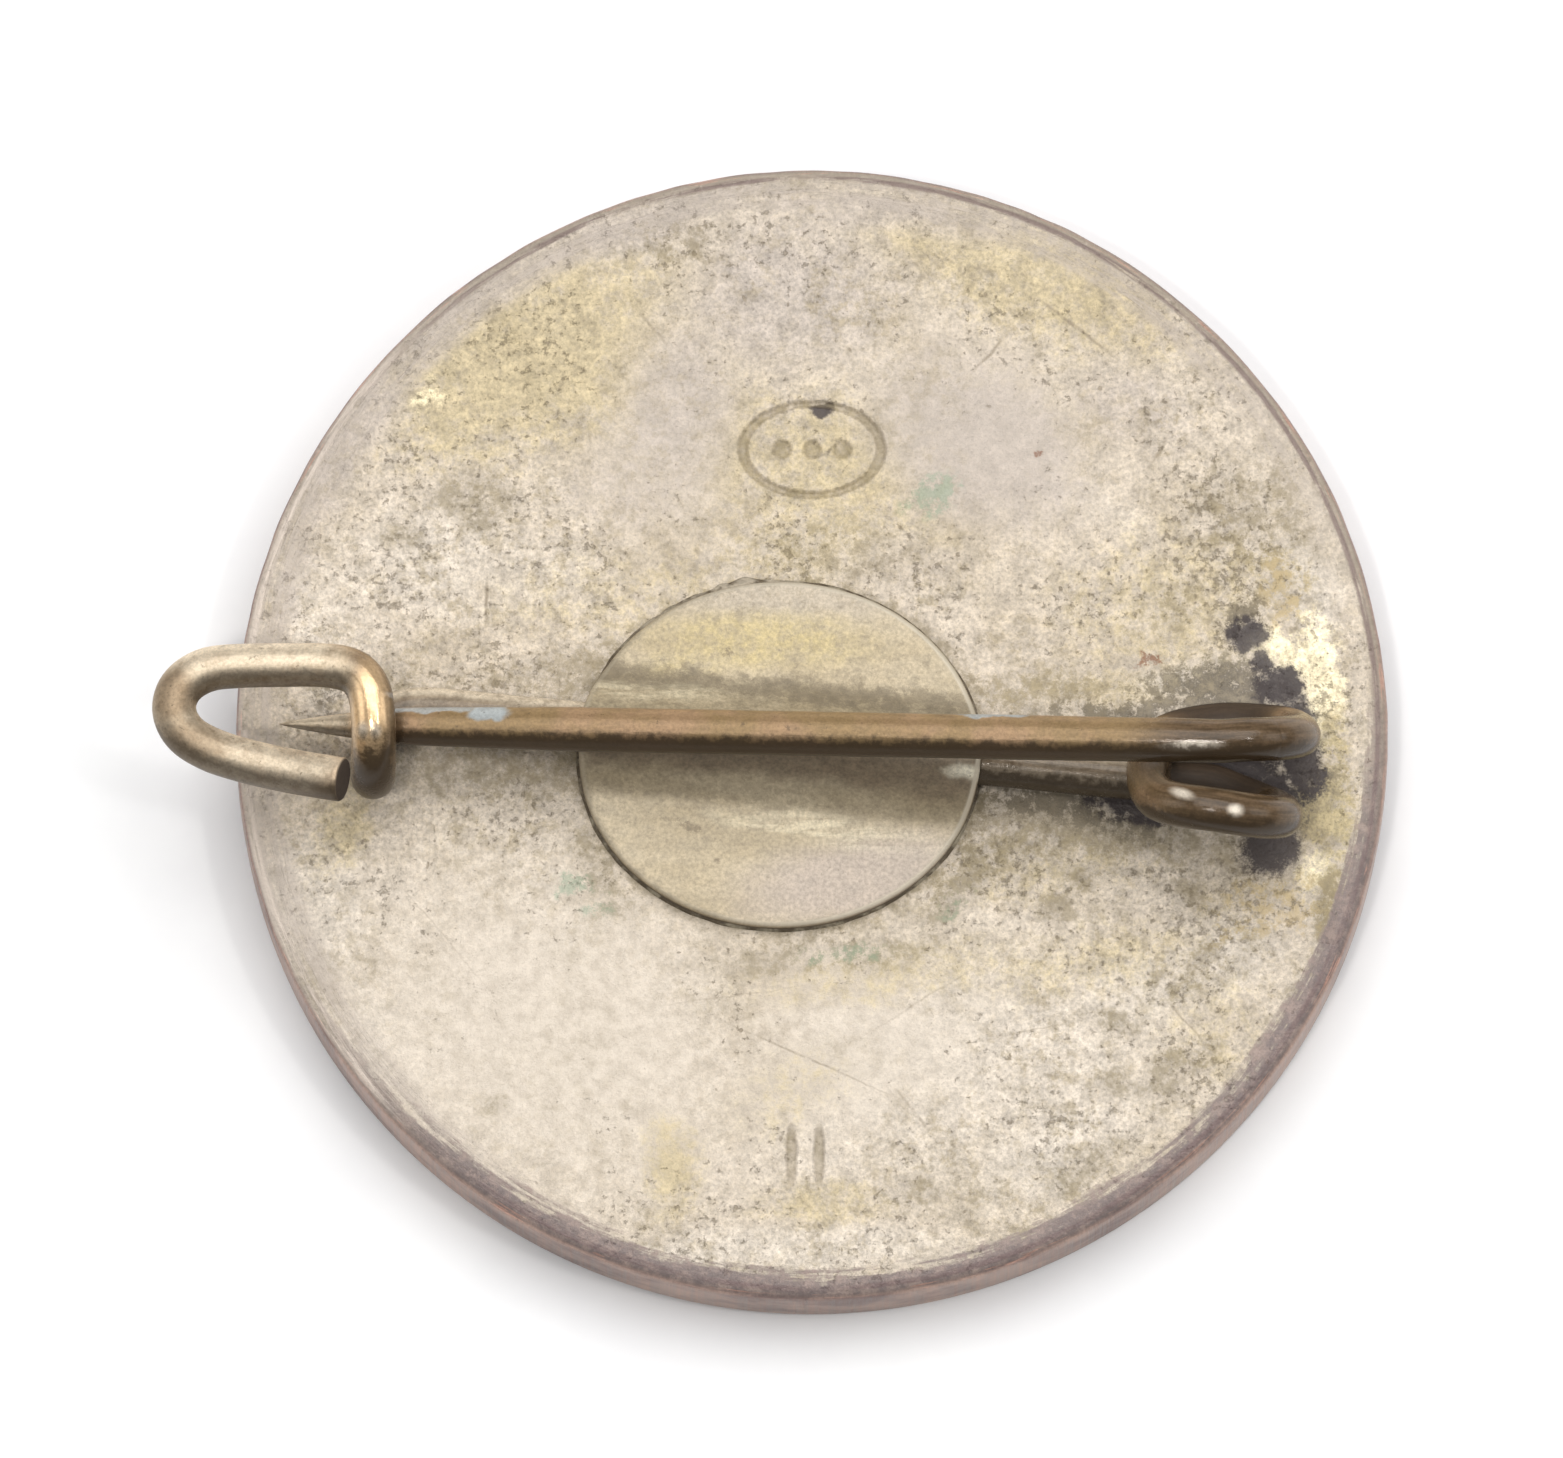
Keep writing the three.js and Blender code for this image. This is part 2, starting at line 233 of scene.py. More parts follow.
def tube_faces(rows, count):
    """Quads along a number of rings of count points that follow one another from point 0."""
    return [face for k in range(rows - 1) for face in ring_faces(k * count, (k + 1) * count, count)]


def fan_faces(first, count, tip):
    """Triangles from a ring of count points to one point."""
    return [(first + i, first + (i + 1) % count, tip) for i in range(count)]


def turned_rings(profile, count, wobble=None):
    """Rings about the badge's axis through the (radius, z) rows of a profile."""
    angles = np.linspace(0, 2 * np.pi, count, endpoint=False)
    rings = []
    for radius, z in profile:
        radii = np.full(count, float(radius))
        heights = np.full(count, float(z))
        if wobble is not None:
            radii, heights = wobble(angles, radii, heights)
        rings.append(np.column_stack((radii * np.cos(angles), radii * np.sin(angles), heights)))
    return rings


def swept(path, radii, sides):
    """A wire along a path: its points and faces, and how far along and round each point lies."""
    tangents = np.gradient(path, axis=0)
    tangents /= np.linalg.norm(tangents, axis=1)[:, None]
    side = np.cross(tangents[0], (0, 0, 1))
    side /= np.linalg.norm(side)
    lengths = lengths_along(path)
    angles = np.linspace(0, 2 * np.pi, sides, endpoint=False)
    points, along, around = [], [], []
    for i, centre in enumerate(path):
        side = side - tangents[i] * (side @ tangents[i])
        side /= np.linalg.norm(side)
        up = np.cross(side, tangents[i])
        ring = np.outer(np.cos(angles), side) + np.outer(np.sin(angles), up)
        points.extend(centre + radii[i] * ring)
        along.extend([lengths[i]] * sides)
        around.extend(angles)
    return points, tube_faces(len(path), sides), along, around


def close_end(points, faces, along, around, first, sides, centre, inward):
    """A flat end with a small worn edge on a wire: first is the index of its last ring."""
    ring = np.array(points[first:first + sides])
    start = len(points)
    for share, depth in ((0.93, 0.035), (0.6, 0.045)):
        points.extend(centre + (ring - centre) * share - np.asarray(inward) * depth)
        along.extend([along[first]] * sides)
        around.extend(around[first:first + sides])
    points.append(centre - np.asarray(inward) * 0.05)
    along.append(along[first])
    around.append(0.0)
    faces += ring_faces(first, start, sides) + ring_faces(start, start + sides, sides)
    faces += fan_faces(start + sides, sides, len(points) - 1)


# ------------------------------------------------------------------ shader writing


class Signal:
    """One output of a node. Arithmetic on it, and the methods below, write further nodes."""

    def __init__(self, paint, socket):
        self.paint = paint
        self.socket = socket

    def __add__(self, other):
        return self.paint.math("ADD", self, other)

    def __radd__(self, other):
        return self.paint.math("ADD", other, self)

    def __sub__(self, other):
        return self.paint.math("SUBTRACT", self, other)

    def __rsub__(self, other):
        return self.paint.math("SUBTRACT", other, self)

    def __mul__(self, other):
        return self.paint.math("MULTIPLY", self, other)

    def __truediv__(self, other):
        return self.paint.math("DIVIDE", self, other)

    def axis(self, name):
        return self.paint.signal("SeparateXYZ", name, {0: self})

    def length(self):
        return self.paint.signal("VectorMath", "Value", {0: self}, operation="LENGTH")

    def scaled(self, amounts):
        return self.paint.signal("VectorMath", 0, {0: self, 1: amounts}, operation="MULTIPLY")

    def moved(self, amounts):
        return self.paint.signal("VectorMath", 0, {0: self, 1: amounts})

    def step(self, low, high, to_low=0.0, to_high=1.0):
        """An even rise from low to high, drawn as to_low to to_high."""
        inputs = {0: self, 1: low, 2: high, 3: to_low, 4: to_high}
        return self.paint.signal("MapRange", 0, inputs, interpolation_type="SMOOTHSTEP")

    def spread(self, to_low=0.0, to_high=1.0):
        """A noise, which mostly runs from 0.3 to 0.7, drawn as to_low to to_high."""
        return self.step(0.3, 0.7, to_low, to_high)

    def noise(self, size, detail=4.0, rough=0.55, stretch=None, offset=0.0):
        """Noise from 0 to 1 whose lumps are about size millimetres across."""
        vector = self.scaled(stretch) if stretch else self
        vector = vector.moved((offset,) * 3) if offset else vector
        inputs = {"Vector": vector, "Scale": 1 / size, "Detail": detail, "Roughness": rough}
        return self.paint.signal("TexNoise", "Fac", inputs)

    def warp(self, size, amount, offset=0.0):
        """The vector pushed about by up to amount, in lumps of about size."""
        vector = self.moved((offset,) * 3) if offset else self
        inputs = {"Vector": vector, "Scale": 1 / size, "Detail": 3.0}
        lumps = self.paint.signal("TexNoise", "Color", inputs)
        pushed = lumps.moved((-0.5, -0.5, -0.5)).scaled((4 * amount, 4 * amount, 0.0))
        return self.moved(pushed)

    def dots(self, spacing, radius, share):
        """Small round dots, in about that share of cells a spacing apart."""
        cells = self.paint.add("TexVoronoi", {"Vector": self, "Scale": 1 / spacing})
        far = Signal(self.paint, cells.outputs["Distance"])
        near = far.step(radius / spacing, 0.5 * radius / spacing)
        luck = Signal(self.paint, cells.outputs["Color"]).axis("X")
        return near * self.paint.math("LESS_THAN", luck, share)

    def patch(self, x, y, half_length, half_width, turn, edge):
        """1 inside an oval patch on the badge's plan and 0 outside, with a soft edge."""
        inputs = {
            "Vector": self,
            "Location": (x, y, 0.0),
            "Rotation": (0.0, 0.0, math.radians(turn)),
            "Scale": (half_length, half_width, 1000.0),
        }
        within = self.paint.signal("Mapping", 0, inputs, vector_type="TEXTURE")
        return within.length().step(1 + edge, 1 - edge)

    def patches(self, rows, edge=0.5):
        """The strongest of several patches; a row is x, y, half length, half width, turn, strength."""
        total = 0.0
        for *oval, strength in rows:
            total = self.paint.math("MAXIMUM", self.patch(*oval, edge) * strength, total)
        return total

    def shade(self, amount):
        """The colour times a grey amount."""
        node = self.paint.add("Mix", {"Factor": 1.0, 6: self}, data_type="RGBA", blend_type="MULTIPLY")
        grey = self.paint.signal("CombineColor", 0, {0: amount, 1: amount, 2: amount})
        self.paint.put(grey, node.inputs[7])
        return Signal(self.paint, node.outputs[2])


class Paint:
    """Writes the nodes of one material. Values may be numbers, colours or signals."""

    def __init__(self, name, roughness=0.5, metallic=0.0, **fixed):
        self.material = bpy.data.materials.new(name)
        self.material.use_nodes = True
        self.tree = self.material.node_tree
        self.shader = self.tree.nodes["Principled BSDF"]
        self.colour = None
        self.shader.inputs["Roughness"].default_value = roughness
        self.shader.inputs["Metallic"].default_value = metallic
        for socket, value in fixed.items():
            self.shader.inputs[socket.replace("_", " ")].default_value = value

    def add(self, kind, inputs=(), **settings):
        node = self.tree.nodes.new("ShaderNode" + kind)
        for key, value in settings.items():
            setattr(node, key, value)
        for key, value in dict(inputs).items():
            self.put(value, node.inputs[key])
        return node

    def signal(self, kind, output, inputs=(), **settings):
        return Signal(self, self.add(kind, inputs, **settings).outputs[output])

    def put(self, value, socket):
        if isinstance(value, Signal):
            self.tree.links.new(value.socket, socket)
        elif socket.type == "RGBA" and len(value) == 3:
            socket.default_value = (*value, 1.0)
        else:
            socket.default_value = value

    def give(self, socket, value):
        self.put(value, self.shader.inputs[socket])

    def place(self):
        """Where a point is at rest, in millimetres."""
        return self.signal("Attribute", "Vector", attribute_name="rest_mm")

    def layer(self, name):
        return self.signal("Attribute", "Fac", attribute_name=name)

    def math(self, operation, a, b=0.0, clamp=False):
        return self.signal("Math", 0, {0: a, 1: b}, operation=operation, use_clamp=clamp)

    def mix(self, first, second, share):
        inputs = {"Factor": share, 6: first, 7: second}
        return self.signal("Mix", 2, inputs, data_type="RGBA", clamp_factor=True)

    def tint(self, colour, share):
        """Lays a colour over the material's own, as far as the share says."""
        self.colour = self.mix(self.colour, colour, share)

    def shade(self, amount):
        """Multiplies the material's own colour by a grey amount."""
        self.colour = self.colour.shade(amount)

    def bump(self, height, distance):
        """Relief in millimetres; the height runs from 0 to 1."""
        inputs = {"Height": height, "Distance": distance * MM}
        self.give("Normal", self.signal("Bump", 0, inputs))


# ------------------------------------------------------------------ materials

CREAM = (0.555, 0.477, 0.383)
TAN = (0.415, 0.345, 0.25)
PALE = (0.60, 0.53, 0.445)
OLIVE = (0.475, 0.385, 0.21)
LILAC = (0.445, 0.385, 0.335)
GILT_AND_SHEEN = (0.92, 0.80, 0.53)
BRASS = (0.34, 0.27, 0.14)
FILM = (0.32, 0.26, 0.165)
FLECK = (0.21, 0.165, 0.11)
DIRT_AND_SHADE = (0.235, 0.187, 0.107)
STAIN_AND_SHADOW = (0.042, 0.031, 0.032)
SLATE = (0.14, 0.115, 0.078)
VERDIGRIS = (0.22, 0.29, 0.2)
RUST = (0.2, 0.08, 0.035)
EARTH = (0.47, 0.36, 0.2)
RIM_PURPLE = (0.16, 0.125, 0.122)
RIM_TAN = (0.36, 0.30, 0.235)
RIM_BROWN = (0.41, 0.28, 0.225)
RIM_BAND = (0.46, 0.395, 0.34)
RIM_SPECK = (0.32, 0.24, 0.21)
RIM_LINE = (0.16, 0.105, 0.1)
RIM_STREAK = (0.19, 0.125, 0.11)
RIM_GLINT = (0.72, 0.62, 0.53)
COPPER = (0.70, 0.41, 0.32)

# Patches on the badge's back: x, y, half length, half width, turn in degrees, strength.
OLIVE_ROWS = (
    (-5.6, 7.6, 2.8, 1.7, 22, 1.0), (-7.4, 6.4, 1.0, 0.6, -60, 0.9), (-3.6, 9.0, 1.4, 0.9, 15, 0.6),
    (4.3, 9.2, 3.2, 1.0, -22, 0.8), (-1.6, 5.9, 0.9, 1.6, 0, 0.6), (0.9, 4.2, 2.4, 0.7, 0, 0.5),
    (-2.7, -8.9, 0.55, 0.9, 10, 0.9), (0.3, -9.6, 1.1, 0.5, 0, 0.7), (-0.5, -7.4, 1.2, 0.8, 30, 0.4),
    (-9.4, -2.0, 0.45, 0.8, -15, 0.8), (7.4, 2.6, 2.2, 1.5, 0, 0.55), (4.6, -2.7, 2.6, 0.8, 12, 0.45),
    (8.0, -6.0, 1.2, 1.2, 20, 0.35), (-3.4, 2.6, 3.0, 0.9, 0, 0.45), (8.4, -4.1, 1.2, 0.5, 20, 0.3),
    (5.6, -4.6, 2.2, 0.7, 10, 0.5), (6.1, 0.9, 2.2, 0.4, 0, 0.6), (1.6, -4.9, 2.6, 0.5, 8, 0.5),
    (0.2, 3.7, 2.0, 0.9, 0, 0.6), (0.4, 5.3, 1.9, 1.6, 0, 0.7),
)
LILAC_ROWS = (
    (-0.6, 8.9, 2.0, 1.5, 0, 0.9), (3.4, 5.8, 2.2, 1.5, -35, 0.95), (6.4, 6.6, 1.3, 0.8, -30, 0.6),
    (-2.7, 6.6, 1.1, 1.8, 0, 0.8), (-3.4, 4.9, 1.6, 0.9, 0, 0.5), (1.6, 3.3, 1.5, 0.6, 0, 0.5),
    (-9.2, 5.9, 0.6, 1.8, -33, 0.8), (-6.9, 8.6, 0.5, 1.9, -52, 0.8), (-3.6, 10.2, 0.5, 2.2, -72, 0.8),
    (1.2, 10.6, 2.6, 0.4, -8, 0.7), (-10.2, 3.0, 0.3, 1.6, -17, 0.4),
)
PALE_ROWS = (
    (-5.4, -6.0, 4.4, 3.2, -25, 0.75), (-9.3, 2.6, 1.1, 1.5, 0, 0.55), (-9.7, -3.6, 0.9, 1.6, 10, 0.9),
    (2.6, -6.7, 4.2, 2.4, 12, 0.85), (-7.4, 3.5, 1.7, 1.2, 0, 0.8), (7.1, 1.05, 0.6, 0.3, 10, 1.0),
    (10.0, 2.7, 0.5, 1.3, 12, 1.0), (4.9, -8.3, 2.2, 0.9, 30, 0.9), (-5.6, 3.0, 1.6, 0.8, 0, 0.6),
    (6.0, 4.3, 1.8, 0.5, -30, 0.45), (-0.6, -10.5, 3.4, 0.4, 0, 1.0), (-8.5, -6.3, 0.8, 1.6, 35, 0.8),
    (3.2, -5.2, 1.2, 0.4, 10, 0.5), (6.4, -5.2, 1.8, 1.0, 20, 0.8), (8.3, -4.7, 1.1, 0.7, 20, 0.9),
    (-10.1, 2.4, 0.35, 1.0, 15, 1.0), (-9.5, 0.9, 0.6, 0.35, 30, 0.9),
)
GILT_AND_SHEEN_ROWS = (
    (10.15, 0.9, 0.5, 1.3, 5, 1.0), (10.35, -1.6, 0.3, 0.9, 0, 0.8), (9.5, 1.5, 0.8, 0.4, -30, 0.9),
    (9.9, -2.9, 0.4, 0.6, 0, 0.7), (8.0, 1.3, 0.9, 0.2, 5, 0.45), (-7.7, 6.8, 0.5, 0.35, 60, 0.3),
)
# Dirt; the long rows beside and under the needle and the anchor wire also paint the wire's shadow.
DIRT_AND_SHADOW_ROWS = (
    (-6.7, 4.7, 0.8, 0.5, -20, 0.65), (-8.3, 3.9, 0.35, 0.3, 0, 0.6), (-5.0, 0.75, 3.4, 0.5, -4, 0.5),
    (-5.9, -0.85, 3.2, 0.5, -3, 0.7), (5.5, -1.9, 2.8, 0.5, -6, 1.0), (4.3, -2.3, 1.2, 0.35, 10, 0.6),
    (4.6, 0.75, 1.4, 0.5, 0, 0.7), (3.1, -3.25, 0.35, 1.1, -40, 0.85), (-4.3, -3.0, 0.4, 1.0, 30, 0.6),
    (-4.6, 1.0, 0.8, 0.5, 20, 0.75), (0.0, -4.6, 2.0, 0.35, 4, 0.5), (8.6, 4.4, 0.8, 1.1, 20, 0.55),
    (7.8, -4.8, 1.2, 0.5, 25, 0.4), (4.8, -3.6, 0.35, 0.25, 0, 0.8), (5.4, -3.1, 0.3, 0.25, 0, 0.8),
    (7.5, -3.2, 0.35, 0.4, 0, 0.8), (6.1, -5.9, 0.5, 0.3, 0, 0.6), (6.0, -7.0, 0.4, 0.3, 0, 0.5),
    (7.3, -6.9, 0.9, 0.35, 45, 0.7), (5.4, -8.9, 1.0, 0.3, 35, 0.6), (8.7, -2.4, 0.5, 0.5, 0, 0.7),
    (-2.6, 10.0, 1.0, 0.35, 10, 0.5), (9.6, 4.6, 0.3, 1.2, 22, 0.6), (2.6, -9.3, 1.4, 0.5, 10, 0.35),
    (7.0, 2.5, 1.0, 0.4, 30, 0.3), (-6.4, -7.6, 0.3, 0.2, 0, 0.6), (-6.2, 8.4, 0.6, 0.2, -50, 0.4),
    (-9.7, -5.0, 0.35, 0.9, 25, 0.45), (10.1, -3.8, 0.3, 0.7, -15, 0.8), (0.3, 3.6, 1.7, 0.6, 0, 0.35),
)
# Stains; the row at 6.4, -1.55 is painted shadow below the coil and the needle's root.
STAIN_AND_SHADOW_ROWS = (
    (8.68, 1.9, 0.42, 0.36, 0, 1.0), (8.95, 1.38, 0.22, 0.24, 0, 0.85), (9.72, -0.5, 0.42, 1.0, 12, 1.0),
    (9.1, -2.35, 0.62, 0.62, 30, 1.0), (6.4, -1.55, 1.1, 0.34, -10, 0.9), (9.2, -1.4, 0.6, 0.8, 0, 0.9),
    (0.22, 6.55, 0.22, 0.16, 0, 0.9), (8.5, -0.85, 1.2, 0.6, -6, 0.85), (9.3, 0.85, 0.5, 0.48, -40, 1.0),
    (9.65, 0.3, 0.35, 0.6, 0, 0.9),
)
SLATE_ROWS = (
    (8.3, 0.85, 1.5, 0.55, -3, 1.0), (6.4, 0.45, 1.4, 0.25, 0, 0.7), (7.4, 1.15, 0.4, 0.2, 0, 0.7),
    (8.7, 2.2, 0.4, 0.35, 0, 0.7), (-9.35, 0.9, 0.6, 0.3, 20, 0.5), (7.6, -0.7, 2.2, 1.0, -4, 0.9),
    (5.2, -1.6, 1.8, 0.4, -6, 0.7),
)
BRASS_ROWS = (
    (10.05, -1.5, 0.7, 1.1, 0, 1.0), (10.4, -0.1, 0.35, 0.7, 0, 0.7), (10.3, -3.4, 0.45, 0.9, -10, 0.7),
    (8.9, -3.4, 1.2, 0.5, 20, 0.4), (9.3, 3.0, 0.6, 0.7, 0, 0.6),
)
GREEN_ROWS = (
    (2.35, 4.75, 0.5, 0.32, 35, 0.8), (2.7, 5.0, 0.36, 0.24, 20, 0.6), (-4.75, -3.2, 0.3, 0.28, 20, 0.7),
    (-4.3, -3.6, 0.3, 0.3, 0, 0.4), (0.6, -4.55, 0.8, 0.16, 4, 0.5), (2.9, -3.5, 0.4, 0.2, 40, 0.5),
)
RUST_ROWS = (
    (6.75, 1.38, 0.2, 0.14, 0, 0.9), (6.45, 1.3, 0.14, 0.08, 20, 0.8), (4.55, 5.6, 0.09, 0.08, 0, 0.8),
)
EARTH_ROWS = (
    (9.2, -3.6, 0.8, 0.6, 0, 0.6), (8.4, -4.1, 0.7, 0.4, 30, 0.3), (9.3, 2.7, 0.4, 0.6, 0, 0.6),
)
# Where the silvering is smooth, and where it is most broken up.
CALM_ROWS = (
    (-5.2, -6.2, 3.6, 2.6, -25, 1.0), (0.4, -6.4, 2.6, 1.6, 0, 0.8), (3.4, 6.0, 2.2, 1.6, -30, 0.7),
    (-2.9, 5.6, 1.4, 2.2, 0, 0.5),
)
BUSY_ROWS = (
    (7.6, -4.6, 2.4, 1.6, 25, 0.6), (-7.6, 3.9, 2.2, 1.5, 0, 0.8), (5.6, -7.6, 2.6, 1.5, 30, 0.45),
    (8.8, 3.4, 1.4, 2.2, 15, 0.9), (5.8, -2.6, 2.4, 0.8, 0, 0.6), (-5.6, 1.0, 2.4, 0.7, 0, 0.8),
    (-7.0, -3.0, 2.0, 1.3, 0, 0.5), (0.8, -10.0, 3.0, 0.7, 0, 0.4), (-9.8, 2.0, 0.9, 2.2, 12, 1.0),
)
SCRATCH_ROWS = (
    (-0.2, -6.6, 1.5, 0.02, -24, 0.8), (2.3, -5.4, 1.1, 0.018, 32, 0.5), (5.3, 8.2, 0.8, 0.035, -38, 1.0),
    (6.9, 5.6, 0.4, 0.03, 60, 0.8), (-6.5, 2.6, 0.45, 0.03, 88, 1.0), (4.3, -6.1, 0.9, 0.016, 12, 0.5),
    (-3.2, 8.2, 0.4, 0.03, -50, 0.8), (3.6, 7.7, 0.45, 0.03, 48, 1.0), (-7.4, -4.1, 1.2, 0.016, -50, 0.4),
    (2.0, -7.7, 0.4, 0.03, -52, 1.0), (-1.6, -5.4, 1.3, 0.016, 8, 0.4), (7.4, -5.9, 0.6, 0.025, -50, 0.7),
)

BACK_LAYERS = {
    "pale": PALE_ROWS, "olive": OLIVE_ROWS, "lilac": LILAC_ROWS, "gilt_and_sheen": GILT_AND_SHEEN_ROWS, "brass": BRASS_ROWS,
    "dirt": DIRT_AND_SHADOW_ROWS, "slate": SLATE_ROWS, "earth": EARTH_ROWS, "calm": CALM_ROWS, "busy": BUSY_ROWS,
}


def patch_layer(rows, x, y):
    """The strongest of several soft oval patches at each point of a mesh."""
    edge = 0.8
    total = np.zeros(len(x))
    for centre_x, centre_y, half_length, half_width, turn, strength in rows:
        c, s = math.cos(math.radians(turn)), math.sin(math.radians(turn))
        u = ((x - centre_x) * c + (y - centre_y) * s) / half_length
        v = ((y - centre_y) * c - (x - centre_x) * s) / half_width
        total = np.maximum(total, strength * (1 - smooth(np.hypot(u, v), 1 - edge, 1 + edge)))
    return total


def silver_back():
    """The badge's back: dull silvering gone cream, olive and grey, with stains, dirt, specks, painted
    shadow and painted highlights.
    """
    paint = Paint("silvered_back")
    where = paint.place()
    flat = where.scaled((1, 1, 0))
    ragged = flat.warp(0.4, 0.1, offset=3.0)

    broad = flat.noise(2.6, 4.0, 0.6)
    mottle = flat.noise(0.5, 6.0, 0.72, offset=3.0)
    grain = flat.noise(0.085, 3.0, 0.65, offset=5.0)
    torn = flat.noise(0.36, 7.0, 0.8, offset=41.0)
    calm = paint.layer("calm")
    busy = paint.layer("busy")
    paint.colour = paint.mix(TAN, CREAM, broad.step(0.3, 0.55, 0.35, 1.0))

    def lay(tint, here, strength, tear, soft):
        """Lays a tint where a mask is, with edges torn by a fine noise; gives how far it shows."""
        edge = here + torn.spread(-tear, tear)
        shown = edge.step(0.5 - soft, 0.5 + soft, 0.0, strength) * here.step(0.0, 0.3)
        paint.tint(tint, shown)
        return shown

    lay(PALE, paint.layer("pale"), 0.85, 0.3, 0.45)
    lay(OLIVE, paint.layer("olive"), 0.72, 0.4, 0.45)
    lay(LILAC, paint.layer("lilac"), 0.8, 0.3, 0.4)
    # Gilt showing through, painted brighter than its own colour to stand in for its sheen.
    gilt_and_sheen = lay(GILT_AND_SHEEN, paint.layer("gilt_and_sheen"), 0.85, 0.55, 0.35)
    lay(BRASS, paint.layer("brass"), 0.9, 0.45, 0.35)
    film = flat.noise(0.34, 5.0, 0.76, offset=31.0).step(0.45, 0.64)
    patchy = flat.noise(1.7, 3.0, 0.6, offset=35.0).step(0.36, 0.62, 0.2, 1.0) + busy * 0.25
    patchy = paint.math("SUBTRACT", patchy, calm * 0.75, clamp=True)
    film = film * patchy
    paint.tint(FILM, film * 0.7)
    swing = (1.0 - calm) * 0.5
    lumps = (mottle.spread() - 0.5) * swing
    paint.shade(1.0 + lumps * 0.75)
    fine_lumps = (grain.spread() - 0.5) * (swing + 0.12)
    paint.shade(1.0 + fine_lumps * 0.75)

    # Specks: small dark flecks that crowd together in places, and a few round pits.
    crowding = flat.noise(2.2, 3.0, 0.6, offset=11.0).step(0.35, 0.7, -0.05, 0.04)
    crowding = crowding + busy * 0.05 - calm * 0.06
    flecks = (flat.noise(0.2, 5.0, 0.78, offset=13.0) - crowding).step(0.43, 0.32)
    pits = ragged.dots(0.7, 0.06, 0.35)
    flecks = paint.math("MAXIMUM", flecks * 0.6, pits * 0.6)
    paint.tint(FLECK, flecks)

    # Dirt, with painted shadow of the needle and the anchor wire laid in it.
    dirt = lay(DIRT_AND_SHADE, paint.layer("dirt"), 0.6, 0.75, 0.5)
    lay(EARTH, paint.layer("earth"), 0.6, 0.7, 0.3)
    slate = lay(SLATE, paint.layer("slate"), 0.8, 0.85, 0.3)
    blotch = slate * torn.step(0.35, 0.62, 0.6, -0.3)
    paint.shade(1.0 - blotch)
    # Stains, one of them a painted shadow below the coil.
    lay(STAIN_AND_SHADOW, ragged.patches(STAIN_AND_SHADOW_ROWS, 0.9), 0.93, 0.28, 0.2)
    lay(VERDIGRIS, ragged.patches(GREEN_ROWS, 0.9), 0.6, 0.7, 0.3)
    lay(RUST, ragged.patches(RUST_ROWS, 0.9), 0.8, 0.5, 0.2)
    paint.shade(torn.step(0.32, 0.68, 0.9, 1.12))
    scratches = flat.warp(0.5, 0.03).patches(SCRATCH_ROWS, 0.8) * mottle.step(0.35, 0.55)
    paint.tint(FLECK, scratches * 0.7)

    # Dirt packed against the retaining disc, thickest on its lower right, and in the marks.
    gap = paint.layer("disc_gap")
    reach = (flat.axis("X") - flat.axis("Y")).step(-4.0, 5.5, 0.32, 0.6)
    near = 1.0 - gap / reach + torn.spread(-0.55, 0.55)
    halo = near.step(0.25, 1.25) * gap.step(1.7, 0.4)
    marks = paint.layer("mark") * torn.step(0.35, 0.65, 0.35, 0.85)
    packed = paint.math("MAXIMUM", halo * 0.75, marks)
    paint.tint(DIRT_AND_SHADE, packed * 0.85)

    # The tarnished rim: a tan band, dark purple along the bottom and the lower right, and a thin
    # dark line; then the brown wall, with copper where its edge is worn, and painted glints on the left.
    out = flat.length()
    height = where.axis("Z")
    turn = paint.math("ARCTAN2", flat.axis("Y"), flat.axis("X"))
    round_place = paint.signal("CombineXYZ", 0, {0: out * 9.0, 1: turn * 7.0, 2: height})
    streaks = round_place.noise(1.3, 5.0, 0.65, offset=21.0)
    upper = (flat.axis("Y") - flat.axis("X")).step(-12.0, 3.0)
    band = out.step(10.45, 10.9) * upper * streaks.step(0.35, 0.62, 0.25, 1.0)
    paint.tint(RIM_BAND, band * 0.7)
    purple = (flat.axis("X") * 0.3 - flat.axis("Y") * 0.9).step(0.5, 6.5)
    width = (purple * 0.28 + 0.24) * streaks.step(0.35, 0.65, 0.75, 1.25)
    frayed = out + torn.spread(-0.13, 0.13)
    inward = (RADIUS - 0.03 - frayed) / width
    edge = inward.step(1.15, 0.7)
    leftward = flat.axis("X").step(-10.8, -5.0, 0.1, 1.0)
    tan_edge = edge * mottle.step(0.3, 0.6, 0.45, 0.9) * leftward
    paint.tint(RIM_TAN, tan_edge)
    speckled = paint.mix(RIM_PURPLE, RIM_SPECK, torn.step(0.42, 0.66))
    paint.tint(speckled, edge * (purple * 0.9))
    line = out.step(11.19, 11.25) * out.step(11.36, 11.3) * streaks.step(0.4, 0.55, 0.2, 0.9)
    paint.tint(RIM_LINE, line * (leftward * 0.75))
    wall = height.step(BACK - 0.1, BACK - 0.2)
    brown = paint.mix(RIM_BROWN, RIM_STREAK, streaks.step(0.4, 0.68))
    paint.tint(brown.shade(grain.spread(0.8, 1.15)), wall)
    crest = out.step(11.34, 11.39) * height.step(BACK - 0.24, BACK - 0.16)
    worn = round_place.noise(0.9, 4.0, 0.7, offset=17.0).step(0.55, 0.64)
    copper = crest * worn
    paint.tint(COPPER, copper * 0.7)
